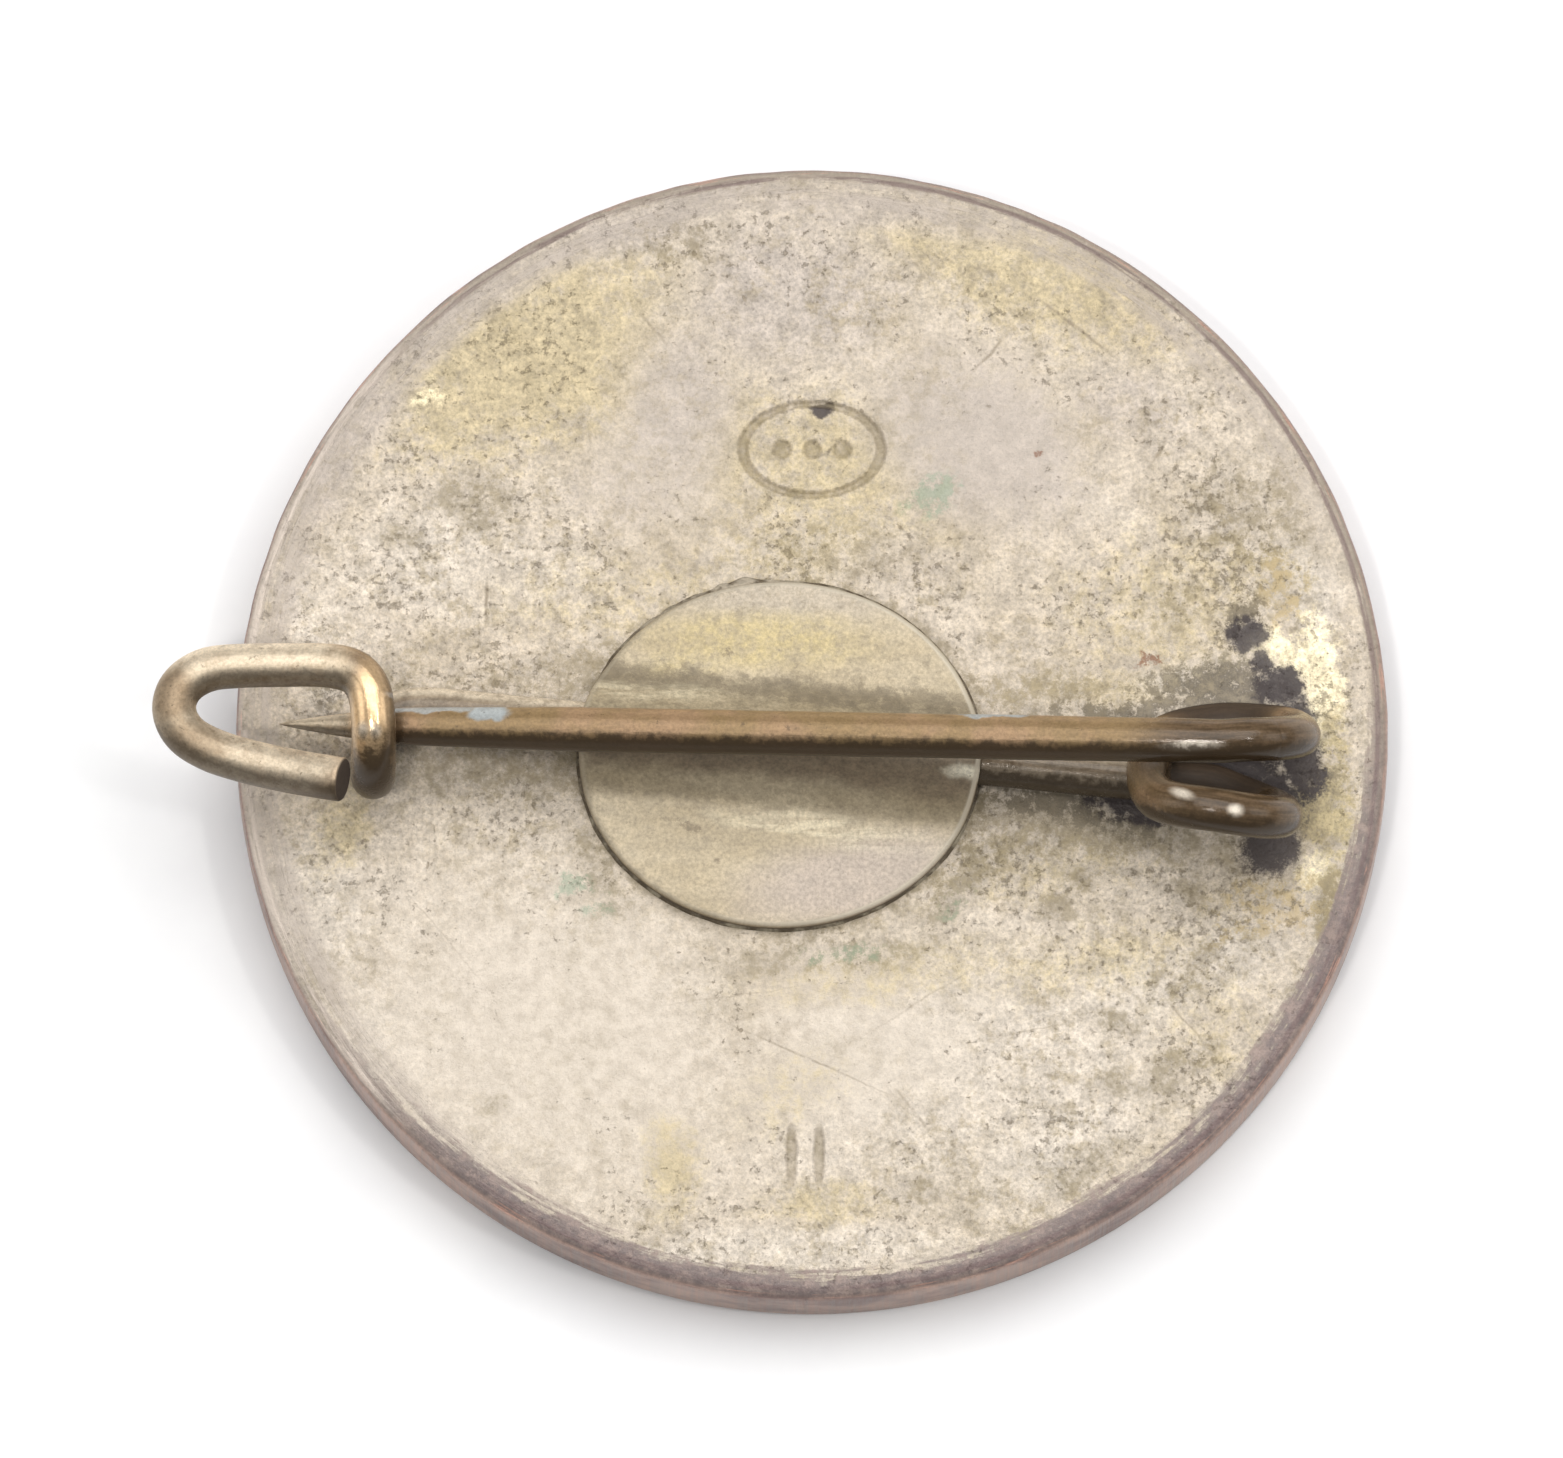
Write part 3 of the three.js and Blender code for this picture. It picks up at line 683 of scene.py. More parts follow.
    # Painted highlight: glints of light along the left part of the rim's edge.
    painted_rim_glint = out.step(11.2, 11.3) * height.step(BACK - 0.2, BACK - 0.1) * streaks.step(0.42, 0.6)
    painted_rim_glint = painted_rim_glint * leftward.step(0.6, 0.3)
    paint.tint(RIM_GLINT, painted_rim_glint * 0.8)

    paint.give("Base Color", paint.colour)
    soiled_and_shaded = paint.math("MAXIMUM", paint.math("MAXIMUM", dirt, slate), packed)
    dull = grain.spread(0.44, 0.58) + soiled_and_shaded * 0.2 - gilt_and_sheen * 0.14 - wall * 0.1
    paint.give("Roughness", dull - copper * 0.12)
    metal = paint.math("SUBTRACT", 0.24, soiled_and_shaded * 0.24, clamp=True) + wall * 0.3
    paint.give("Metallic", metal + copper * 0.5)

    relief = grain * 0.45 + mottle * 0.7 - flecks * 0.3 + streaks * band * 0.5
    paint.bump(relief, 0.045)
    return paint.material


SHEET_DARK = (0.395, 0.32, 0.205)
SHEET_LIGHT = (0.475, 0.395, 0.27)
SHEET_GREY = (0.46, 0.395, 0.315)
SHEET_YELLOW = (0.49, 0.395, 0.185)
SHEET_DIRT_AND_SHADE = (0.2, 0.163, 0.112)
SHEET_WORN_AND_SHEEN = (0.70, 0.61, 0.43)
SHEET_PAINTED_SHADE = (0.165, 0.12, 0.08)
SHEET_PAINTED_HIGHLIGHT = (0.95, 0.88, 0.7)
SHEET_CLOUD = (0.27, 0.22, 0.145)
SHEET_PINK = (0.42, 0.35, 0.3)
SHEET_MARK = (0.2, 0.155, 0.095)
SHEET_SPECK = (0.23, 0.19, 0.125)
SHEET_EDGE_HIGHLIGHT = (0.62, 0.55, 0.43)
SHEET_WALL = (0.17, 0.125, 0.08)


def silver_disc():
    """The retaining disc: smoother silvered sheet, yellowed, with grey bands beside its hump, painted
    shade and painted highlights.
    """
    paint = Paint("silvered_disc", metallic=0.2)
    where = paint.place()
    loose = where.warp(0.8, 0.14)
    broad = where.noise(1.3, 4.0, 0.55, stretch=(0.4, 1.4, 1.0))
    mottle = where.noise(0.3, 6.0, 0.72, offset=2.0)
    grain = where.noise(0.075, 3.0, 0.65, offset=4.0)
    torn = where.noise(0.3, 7.0, 0.8, offset=43.0)
    paint.colour = paint.mix(SHEET_DARK, SHEET_LIGHT, broad.step(0.35, 0.65))

    crest_y = loose.axis("X") * ANCHOR_SLOPE + (ANCHOR_Y - ANCHOR_SLOPE * COIL_TURNS[1][0])
    across = loose.axis("Y") - crest_y
    beside = paint.math("ABSOLUTE", across)

    def band(near, full, last, end, tear):
        """A stripe on both sides of the hump, between two distances from its crest, with torn edges."""
        inside = beside.step(near, full) * beside.step(end, last)
        return (inside + torn.spread(-tear, tear)).step(0.15, 1.15)

    # Grey stripes on both sides of the hump, stronger above it: partly dirt, partly a painted dark
    # reflection along the hump's foot.
    dirt_and_shade_band = band(0.6, 1.0, 1.15, 1.6, 0.7) * across.step(-0.3, 0.3, 0.3, 1.0)
    dirt_and_shade_band = dirt_and_shade_band * grain.step(0.35, 0.62, 0.4, 1.0)
    yellow_rows = ((-1.0, 1.75, 2.0, 0.5, -3, 1.0), (-2.4, 1.35, 0.9, 0.3, 5, 0.8))
    yellow = loose.patches(yellow_rows, 0.6) * mottle.step(0.35, 0.6, 0.4, 1.0)
    # Pale streaks: worn along the hump's crest on the left, and painted highlights in diagonal streaks
    # along the hump below the needle.
    streaky = where.noise(0.3, 4.0, 0.6, stretch=(0.22, 1.6, 1.0), offset=19.0)
    pale_worn_and_sheen_rows = (
        (1.1, -2.25, 2.0, 0.3, -14, 1.0), (-3.3, 0.62, 1.3, 0.2, -4, 1.0),
        (-0.9, -2.0, 1.0, 0.16, -10, 0.7),
    )
    pale = loose.patches(pale_worn_and_sheen_rows, 0.6) * streaky.step(0.4, 0.58, 0.2, 1.0)
    top = loose.patches(((-0.3, 2.7, 2.6, 0.55, 0, 1.0),), 0.6)
    paint.tint(SHEET_GREY, top * 0.7)
    paint.tint(SHEET_YELLOW, yellow * 0.75)
    paint.tint(SHEET_DIRT_AND_SHADE, dirt_and_shade_band * 0.85)
    paint.tint(SHEET_WORN_AND_SHEEN, pale * 0.85)
    # Painted shade: a dark brown stripe just below the hump's crest, standing in for the needle's shadow
    # and the hump's side turned from the light.
    painted_lee_shade = across.step(0.2, -0.05) * across.step(-0.95, -0.6)
    paint.tint(SHEET_PAINTED_SHADE, painted_lee_shade * 0.75)
    # Painted highlight: a small bright spot on the hump's crest near the disc's right edge.
    painted_glint = loose.patches(((3.15, -1.12, 0.42, 0.12, -6, 1.0),), 0.6)
    paint.tint(SHEET_PAINTED_HIGHLIGHT, painted_glint * 0.95)
    cloud = where.noise(0.22, 5.0, 0.78, offset=15.0).step(0.48, 0.66)
    paint.tint(SHEET_CLOUD, cloud * 0.5)
    pinkish = loose.patches(((0.9, -3.1, 2.2, 0.8, 10, 0.75),))
    paint.tint(SHEET_PINK, pinkish)
    spot_rows = (
        (-2.5, -2.0, 0.3, 0.12, -25, 0.9), (-1.9, -2.75, 0.14, 0.1, 0, 0.6),
        (-0.5, 2.2, 0.3, 0.2, 0, 0.3), (-1.7, 1.5, 0.2, 0.1, 30, 0.5), (0.7, 1.75, 0.14, 0.1, 0, 0.7),
    )
    marks = (where.patches(spot_rows, 0.9) + torn.spread(-0.5, 0.5)).step(0.45, 0.8)
    paint.tint(SHEET_MARK, marks * 0.7)
    specks = where.noise(0.13, 4.0, 0.7, offset=9.0).step(0.37, 0.3)
    paint.tint(SHEET_SPECK, specks * 0.55)
    paint.shade(mottle.spread(0.83, 1.12))
    paint.shade(grain.spread(0.82, 1.16))
    # Painted highlight: a pale band along the disc's rounded edge, fading out towards the left.
    painted_edge_highlight = paint.layer("rim").step(0.0, 0.06) * paint.layer("rim").step(0.4, 0.2)
    painted_edge_highlight = painted_edge_highlight * where.axis("X").step(-3.5, 1.5, 0.2, 0.85)
    paint.tint(SHEET_EDGE_HIGHLIGHT, painted_edge_highlight)
    wall = paint.layer("rim").step(0.35, 0.95)
    paint.tint(SHEET_WALL, wall * 0.9)
    paint.give("Base Color", paint.colour)
    paint.give("Roughness", mottle.spread(0.38, 0.5) + dirt_and_shade_band * 0.2)
    paint.bump(mottle * 0.7 + grain * 0.3 + dirt_and_shade_band * 0.2, 0.016)
    return paint.material


SOLDER_DARK = (0.12, 0.09, 0.055)
SOLDER_LIGHT = (0.36, 0.31, 0.22)
SOLDER_CRUST = (0.5, 0.43, 0.33)


def solder_grey():
    """Solder and packed dirt round the retaining disc."""
    paint = Paint("solder_and_dirt", metallic=0.2)
    where = paint.place()
    lumps = where.noise(0.4, 5.0, 0.6)
    fine = where.noise(0.09, 4.0, 0.65, offset=3.0)
    paint.colour = paint.mix(SOLDER_DARK, SOLDER_LIGHT, lumps.step(0.42, 0.64))
    crust = ((-1.5, 3.1, 1.5, 0.5, 8, 1.0), (-3.2, 2.3, 0.5, 0.5, 0, 0.5))
    pale = where.patches(crust) * lumps.step(0.35, 0.5)
    paint.tint(SOLDER_CRUST, pale * 0.7)
    paint.shade(fine.spread(0.75, 1.15))
    paint.give("Base Color", paint.colour)
    paint.give("Roughness", fine.spread(0.45, 0.7))
    paint.bump(lumps + fine * 0.4, 0.03)
    return paint.material


BRONZE_DARK = (0.07, 0.045, 0.024)
BRONZE_LIGHT = (0.135, 0.088, 0.05)
ROSY_DARK = (0.285, 0.19, 0.09)
ROSY_LIGHT = (0.345, 0.22, 0.12)
WIRE_SILVER = (0.66, 0.56, 0.42)
WIRE_BEND = (0.21, 0.135, 0.07)
WIRE_BLUE = (0.34, 0.37, 0.375)
WIRE_COPPER_AND_SHEEN = (0.95, 0.66, 0.37)
WIRE_GLINT = (0.9, 0.8, 0.66)
WIRE_SPOT = (0.06, 0.04, 0.025)
WIRE_UNDERSIDE_SHADE = (0.04, 0.026, 0.014)
WIRE_CUT_SHADE = (0.05, 0.035, 0.025)
WIRE_GRIME_AND_SHADE = (0.045, 0.03, 0.02)


def bronze_wire():
    """The pin wire: bronze gone dark brown, rosy along the needle, greyer on the catch, with painted
    light and shade.
    """
    paint = Paint("bronze_wire", IOR=1.36)
    where = paint.place()
    drawn = {0: paint.layer("along") * 0.3, 1: paint.layer("around")}
    streaks = paint.signal("CombineXYZ", 0, drawn).noise(0.25, 4.0, 0.6)
    broad = where.noise(1.4, 4.0, 0.6, offset=6.0)
    mottle = where.noise(0.26, 5.0, 0.68, offset=8.0)
    grain = where.noise(0.06, 3.0, 0.6, offset=2.0)
    paint.colour = paint.mix(BRONZE_DARK, BRONZE_LIGHT, streaks.step(0.33, 0.66))
    # The coil and the hook are smooth and dark; the needle between them has a dull rosy film.
    bends = where.patches(((-8.7, -0.3, 0.6, 1.3, 0, 1.0), (8.4, -1.35, 2.0, 1.5, 0, 1.0)), 0.35)
    film = where.axis("Z").step(BACK + 0.95, BACK + 1.15) * (1.0 - bends)
    rosy = paint.mix(ROSY_DARK, ROSY_LIGHT, broad.step(0.4, 0.6))
    paint.tint(rosy, film * 0.85)
    # The catch and the anchor keep more of their silvering.
    catch = where.patches(((-11.2, -0.2, 2.2, 2.4, 0, 1.0),), 0.2)
    low_down = where.axis("Z").step(BACK + 0.95, BACK + 0.8) * where.axis("X").step(7.4, 6.2)
    grey = paint.math("MAXIMUM", catch, low_down * 0.85) * mottle.step(0.25, 0.6, 0.55, 1.0)
    paint.tint(WIRE_SILVER, grey * 0.9)
    bend = where.patches(((-12.65, 0.1, 0.45, 0.6, 0, 1.0), (-12.2, -0.75, 0.7, 0.35, -25, 0.8)), 0.5)
    paint.tint(WIRE_BEND, bend * 0.75)
    # Blue-grey worn patches on top of the needle.
    blue_rows = (
        (-6.4, -0.06, 0.42, 0.2, 0, 1.0), (3.6, -0.24, 0.75, 0.13, 0, 0.9),
        (-7.5, 0.1, 0.9, 0.14, 0, 0.8),
    )
    on_top = where.axis("Z").step(BACK + 1.6, BACK + 1.8)
    blue = where.warp(0.4, 0.08).patches(blue_rows, 0.2) * on_top
    paint.tint(WIRE_BLUE, blue * 0.9)
    # Copper colour on the worn hook, laid along its highlight line as a painted highlight.
    worn = where.patches(((-8.76, -0.25, 0.36, 0.9, 0, 1.0),), 0.5)
    paint.tint(WIRE_COPPER_AND_SHEEN, worn * 0.9)
    # Painted highlights: small bright glints on top of the needle's root, the coil's second turn and the
    # hook.
    painted_glint_rows = (
        (7.45, -1.03, 0.45, 0.075, 0, 1.0), (7.27, -1.93, 0.2, 0.09, -25, 0.75),
        (8.32, -2.3, 0.13, 0.1, 0, 0.9), (-8.87, -0.6, 0.11, 0.13, 0, 0.8),
        (-8.62, -0.62, 0.1, 0.12, 0, 0.8),
    )
    painted_glints = where.patches(painted_glint_rows, 0.8) * where.axis("Z").step(BACK + 2.3, BACK + 2.7)
    paint.tint(WIRE_GLINT, painted_glints * 0.9)
    spots = where.noise(0.17, 5.0, 0.75, offset=12.0).step(0.39, 0.32)
    paint.tint(WIRE_SPOT, spots * 0.5)
    paint.shade(mottle.spread(0.8, 1.12))
    paint.shade(grain.spread(0.86, 1.1))
    # Painted light and shade: the wire's colour is made lighter on its side towards the badge's upper
    # edge and darker on its side towards the lower edge.
    under = paint.layer("under") + mottle.spread(-0.2, 0.2)
    paint.shade(under.step(-0.3, -0.85, 1.0, 1.35))
    painted_underside_shade = under.step(-0.05, 0.5) * (0.92 - catch * 0.2)
    paint.tint(WIRE_UNDERSIDE_SHADE, painted_underside_shade)
    # Painted shade: the wires' end faces darkened, mainly the catch's cut end.
    paint.tint(WIRE_CUT_SHADE, paint.layer("cut"))
    # Grime, where nothing rubs it off, and painted shade on the low wire inside the coil.
    grime_and_shade = where.axis("Z").step(BACK + 1.5, BACK + 1.1) * where.axis("X").step(6.6, 7.2)
    paint.tint(WIRE_GRIME_AND_SHADE, grime_and_shade * 0.8)
    paint.give("Base Color", paint.colour)
    rough = mottle.spread(0.12, 0.21) + grey * 0.1 + film * 0.2
    soiled_and_shaded = paint.math("MAXIMUM", paint.layer("cut"), grime_and_shade)
    paint.give("Roughness", rough + soiled_and_shaded * 0.45 + blue * 0.1)
    metal = film * 0.2 + catch * 0.25
    metal = 0.08 + paint.math("MAXIMUM", metal, worn * 0.45)
    metal = metal * (1.0 - soiled_and_shaded)
    paint.give("Metallic", paint.math("SUBTRACT", metal, blue * 0.25, clamp=True))
    paint.bump(streaks * 0.6 + grain * 0.4, 0.01)
    return paint.material


# Each enamel's darker and lighter tint.
IVORY_TINTS = ((0.74, 0.69, 0.55), (0.83, 0.79, 0.66))
BLUE_TINTS = ((0.008, 0.03, 0.085), (0.02, 0.09, 0.2))
PIT = (0.06, 0.05, 0.04)


def fired_enamel(name, dark, light, rippled):
    """Glass enamel polished flush, with small pits and a few hairline scratches."""
    paint = Paint(name, Coat_Weight=0.6, Coat_Roughness=0.06, IOR=1.52)
    where = paint.place()
    broad = where.noise(2.5, 4.0, 0.5)
    fine = where.noise(0.12, 3.0, 0.5, offset=3.0)
    share = broad.spread()
    if rippled:
        out = where.scaled((1, 1, 0)).length()
        angle = paint.math("ARCTAN2", where.axis("Y"), where.axis("X"))
        petals = paint.math("SINE", angle * 24.0)
        ripple = paint.math("SINE", out * 11.0 + petals * 0.9)
        share = (ripple + broad * 0.8).step(-0.9, 1.5)
    paint.colour = paint.mix(dark, light, share)
    pits = where.dots(0.9, 0.06, 0.5)
    paint.tint(PIT, pits * 0.7)
    hairs = where.noise(0.5, 2.0, 0.5, stretch=(0.15, 6.0, 1.0), offset=9.0)
    paint.give("Base Color", paint.colour)
    paint.give("Roughness", hairs.step(0.55, 0.75, 0.1, 0.3))
    paint.bump(fine * 0.3 - pits, 0.006)
    return paint.material


def pale_paper():
    """The plain pale surface that the badge lies on."""
    paint = Paint("pale_paper", roughness=0.9)
    fibres = paint.signal("TexCoord", "Object").noise(0.006, 5.0, 0.6)
    paint.give("Base Color", paint.mix((0.88, 0.878, 0.885), (0.93, 0.93, 0.93), fibres.spread()))
    return paint.material


# ------------------------------------------------------------------ badge


def off_oval(x, y, grow=0.0):
    """About how far a point is from the struck oval ring, or from one that is larger by grow."""
    share = math.hypot((x - OVAL_X) / (OVAL_A + grow), (y - OVAL_Y) / (OVAL_B + grow))
    return (share - 1) * (OVAL_A + OVAL_B) / 2


def stamp_depth(x, y):
    """How far the struck marks go in at a point: an oval ring with three dots, and two strokes."""
    depth = float(1 - smooth(abs(off_oval(x, y)), OVAL_LINE * 0.45, OVAL_LINE * 1.5))
    for step in (-1, 0, 1):
        away = math.hypot(x - OVAL_X - step * DOT_PITCH, y - OVAL_Y)
        depth = max(depth, float(1 - smooth(away, DOT_RADIUS * 0.55, DOT_RADIUS * 1.15)))
    for side in (-1, 1):
        stroke_x = (x - STROKES_X - side * STROKE_PITCH / 2) / STROKE_A
        stroke_y = (y - STROKES_Y) / STROKE_B
        depth = max(depth, float(1 - smooth(math.hypot(stroke_x, stroke_y), 0.6, 1.25)))
    return depth * STAMP_DEPTH * (0.8 + 0.35 * wander(x, y, 7.0, 0.5))


def in_stamp_area(x, y):
    """True in the two rectangles round the struck marks, which get a finer grid."""
    near_oval = abs(x - OVAL_X) < 1.62 and abs(y - OVAL_Y) < 1.16
    near_strokes = abs(x - STROKES_X) < 0.55 and abs(y - STROKES_Y) < 0.85
    return near_oval or near_strokes


def plan_grid(step, radius, keep):
    """Points a step apart in rows, in the round area, that the keep test lets through."""
    row_step = step * math.sqrt(3) / 2
    rows, columns = int(radius / row_step), int(radius / step) + 1
    made = []
    for row in range(-rows, rows + 1):
        for column in range(-columns, columns + 1):
            x, y = (column + 0.5 * (row % 2)) * step, row * row_step
            if math.hypot(x, y) < radius - step * 0.6 and keep(x, y):
                made.append((x, y))
    return made


def back_height(x, y):
    """The back's own slight unevenness, the struck marks, and the lip pressed up round the oval."""
    waves = 0.012 * wander(x, y, 4.0, 3.0) + 0.006 * wander(x, y, 9.0, 1.1)
    pressed_out = 0.012 * math.exp(-(off_oval(x, y, grow=0.2) / 0.12) ** 2)
    return BACK - 0.024 + waves + pressed_out - stamp_depth(x, y)


def disc_distance(x, y):
    """About how far a point lies outside the retaining disc's edge."""
    share = math.hypot((x - DISC_X) / DISC_A, (y - DISC_Y) / DISC_B)
    return (share - 1) * (DISC_A + DISC_B) / 2


# The badge's turned outline outside its flat plate: radius, and depth below the back.
BACK_PROFILE = (
    (10.54, 0.022), (10.62, 0.019), (10.69, 0.021), (10.76, 0.031), (10.83, 0.04), (10.91, 0.043),
    (10.99, 0.043), (11.08, 0.045), (11.16, 0.05), (11.24, 0.06), (11.31, 0.075), (11.37, 0.097),
    (11.42, 0.127), (11.455, 0.165), (11.48, 0.215), (11.495, 0.285), (11.5, 0.38), (11.5, 0.9),
    (11.5, 1.5), (11.5, 1.85), (11.48, 1.98), (11.43, 2.055), (11.34, 2.092), (11.25, 2.1),
)


def front_profile():
    """The cells for the enamel, from the border inwards."""
    rows = [(BORDER_RADII[1] + 0.02, 0.0), (BORDER_RADII[1], 0.03), (BORDER_RADII[1], ENAMEL_DEPTH)]
    for outer, inner in ((BORDER_RADII[0], FIELD_RADII[1]), (FIELD_RADII[0], CENTRE_RADIUS)):
        rows += [(outer, ENAMEL_DEPTH), (outer, 0.03), (outer - 0.03, 0.0)]
        rows += [(inner + 0.03, 0.0), (inner, 0.03), (inner, ENAMEL_DEPTH)]
    return rows


def worn_rim(angles, radii, heights):
    """The rim as it is: its lip deep at the upper right and nearly gone elsewhere, its edge nicked."""
    lip = np.array([wander(3 * math.cos(a), 3 * math.sin(a), 2.0) for a in angles])
    nicks = np.array([wander(11 * math.cos(a), 11 * math.sin(a), 5.0, 0.6) for a in angles])
    towards_top = np.cos(angles - math.radians(75))
    on_lip = smooth(radii, PLATE_RADIUS + 0.1, PLATE_RADIUS + 0.35) * (1 - smooth(radii, 10.95, 11.2))
    on_edge = smooth(radii, 11.2, 11.45) * smooth(heights, BACK - 0.7, BACK - 0.3)
    depth = 0.8 * smooth(towards_top, -0.3, 0.8)
    high = heights > BACK - 0.1
    level = BACK - 0.022 - 0.025 * smooth(radii, 10.5, 11.1)
    heights = np.where(high & (radii < 11.1), level + (heights - level) * (0.15 + 0.85 * depth), heights)
    radii = radii + (0.06 * lip - 0.08 * depth) * on_lip - 0.018 * (1 + nicks) * on_edge
    return radii, heights


def build_body(material):
    """The metal shell: a plate with its struck marks, the rim, and the cells for the enamel."""
    count = 384
    coarse = plan_grid(0.18, PLATE_RADIUS, lambda x, y: not in_stamp_area(x, y))
    fine = plan_grid(0.04, PLATE_RADIUS, in_stamp_area)
    angles = np.linspace(0, 2 * np.pi, count, endpoint=False)
    rim = [(PLATE_RADIUS * math.cos(a), PLATE_RADIUS * math.sin(a)) for a in angles]
    plan = [Vector(p) for p in rim + coarse + fine]
    edges = [(i, (i + 1) % count) for i in range(count)]
    flat, _, triangles, _, _, _ = delaunay_2d_cdt(plan, edges, [], 0, 1e-6)
    points = [(p.x, p.y, back_height(p.x, p.y)) for p in flat]
    faces = [tuple(face) for face in triangles]
    profile = [(radius, BACK - depth) for radius, depth in BACK_PROFILE] + front_profile()
    previous = 0
    for ring in turned_rings(profile, count, worn_rim):
        start = len(points)
        points.extend(map(tuple, ring))
        faces += ring_faces(previous, start, count)
        previous = start
    points.append((0.0, 0.0, ENAMEL_DEPTH))
    faces += fan_faces(previous, count, len(points) - 1)
    piece = make_piece("badge_shell", points, faces, material)
    x, y = np.array(points)[:, 0], np.array(points)[:, 1]
    warped_x = x + [0.3 * wander(a, b, 2.0, 1.3) for a, b in zip(x, y)]
    warped_y = y + [0.3 * wander(a, b, 6.0, 1.3) for a, b in zip(x, y)]
    for name, rows in BACK_LAYERS.items():
        add_layer(piece, name, patch_layer(rows, warped_x, warped_y))
    add_layer(piece, "disc_gap", [max(0.0, disc_distance(x, y)) for x, y, z in points])
    depths = [stamp_depth(x, y) if z > BACK - 0.3 else 0.0 for x, y, z in points]
    add_layer(piece, "mark", [min(1.0, 1.2 * depth / STAMP_DEPTH) for depth in depths])
    return piece


def build_enamel(name, inner, outer, material):
    """A field of enamel, a little hollow between its metal edges; inner is 0 for a round one."""
    count = 256
    gap = 0.004
    floor = ENAMEL_DEPTH - 0.01
    is_ring = inner > 0
    last = inner + gap if is_ring else 0.0
    profile = [(outer - gap, floor)]
    for share in np.linspace(0, 1, 15):
        hollow = 0.018 * math.sin(math.pi * share * (1 if is_ring else 0.5))
        profile.append(((outer - gap) * (1 - share) + last * share, hollow))
    profile.append((last, floor))
    rings = turned_rings(profile if is_ring else profile[:-2], count)
    points = [tuple(p) for ring in rings for p in ring]
    faces = tube_faces(len(rings), count)
    last_ring = len(points) - count
    if is_ring:
        faces += ring_faces(last_ring, 0, count)
    else:
        points += [(0, 0, z) for radius, z in profile[-2:]]
        faces += fan_faces(last_ring, count, len(points) - 2) + fan_faces(0, count, len(points) - 1)
    return make_piece(name, points, faces, material)


# ------------------------------------------------------------------ retaining disc and solder


def anchor_y(x):
    """The anchor wire's Y at an X."""
    return ANCHOR_Y + ANCHOR_SLOPE * (x - COIL_TURNS[1][0])


def disc_top(x, y):
    """The height of the pressed disc's top: flat, and raised over the anchor wire."""
    across = (y - anchor_y(x)) * math.cos(math.atan(ANCHOR_SLOPE))
    lift = 0.5 * (1 + math.cos(math.pi * min(1.0, abs(across) / HUMP_HALF)))
    waves = 0.014 * wander(x, y, 6.0, 1.4) + 0.005 * wander(x, y, 3.0, 0.5)
    return BACK + DISC_SHEET + (DISC_CROWN - DISC_SHEET - 0.015) * lift**1.15 + waves - 0.02


def build_disc(material):
    """The pressed disc: a humped top with a rounded edge, a wall and an underside in the back."""
    count = 256
    round_from = 0.955
    angles = np.linspace(0, 2 * np.pi, count, endpoint=False)
    shares = list(np.linspace(0.03, round_from, 44)) + [0.965, 0.974, 0.982, 0.989, 0.995, 1.0]
    points, rim, faces = [(DISC_X, DISC_Y, disc_top(DISC_X, DISC_Y))], [0.0], []
    for k, share in enumerate(shares):
        for a in angles:
            x = DISC_X + DISC_A * share * math.cos(a)
            y = DISC_Y + DISC_B * share * math.sin(a)
            inset = max(0.0, share - round_from) / (1 - round_from)
            fall = 0.09 * (1 - math.sqrt(max(0.0, 1 - inset**2)))
            points.append((x, y, disc_top(x, y) - fall))
            rim.append(0.35 * inset**3)
        if k == 0:
            faces += fan_faces(1, count, 0)
        else:
            faces += ring_faces(1 + k * count, 1 + (k - 1) * count, count)
    top_ring = len(points) - count
    for level in (0.45, 0.0):
        start = len(points)
        for i in range(count):
            x, y, z = points[top_ring + i]
            points.append((x, y, SEAT_Z + (z - BACK) * level))
            rim.append(1.0)
        faces += ring_faces(start, start - count, count)
    points.append((DISC_X, DISC_Y, SEAT_Z))
    rim.append(1.0)
    faces += fan_faces(start, count, len(points) - 1)
    piece = make_piece("pressed_disc", points, faces, material)
    add_layer(piece, "rim", rim)
    return piece


def build_solder(material):
    """An uneven fillet of solder and dirt, heaped up at the disc's upper left."""
    count = 512
    heap_angle, heap_spread = 106, 20
    points, faces = [], []
    section = ((0.0, 0.0), (0.0, 1.0), (0.35, 0.8), (0.7, 0.35), (1.0, 0.0))
    for i in range(count):
        a = 2 * math.pi * i / count
        edge_x, edge_y = DISC_X + DISC_A * math.cos(a), DISC_Y + DISC_B * math.sin(a)
        lumps = wander(edge_x, edge_y, 3.0, 0.7) + 0.5 * wander(edge_x, edge_y, 8.0, 0.22)
        heap = math.exp(-((math.degrees(a) - heap_angle) / heap_spread) ** 2)
        width = 0.1 + 0.02 * lumps + heap * (0.1 + 0.08 * lumps)
        height = 0.06 + 0.012 * lumps + heap * 0.02
        away = Vector((math.cos(a) / DISC_A, math.sin(a) / DISC_B)).normalized()
        for out, up in section:
            reach = out * max(width, 0.03) - 0.02
            z = SEAT_Z + up * max(height, 0.02)
            points.append((edge_x + away.x * reach, edge_y + away.y * reach, z))
    rows = len(section)
    for i in range(count):
        faces += ring_faces(i * rows, (i + 1) % count * rows, rows)
    return make_piece("solder_fillet", points, faces, material)


# ------------------------------------------------------------------ pin wire


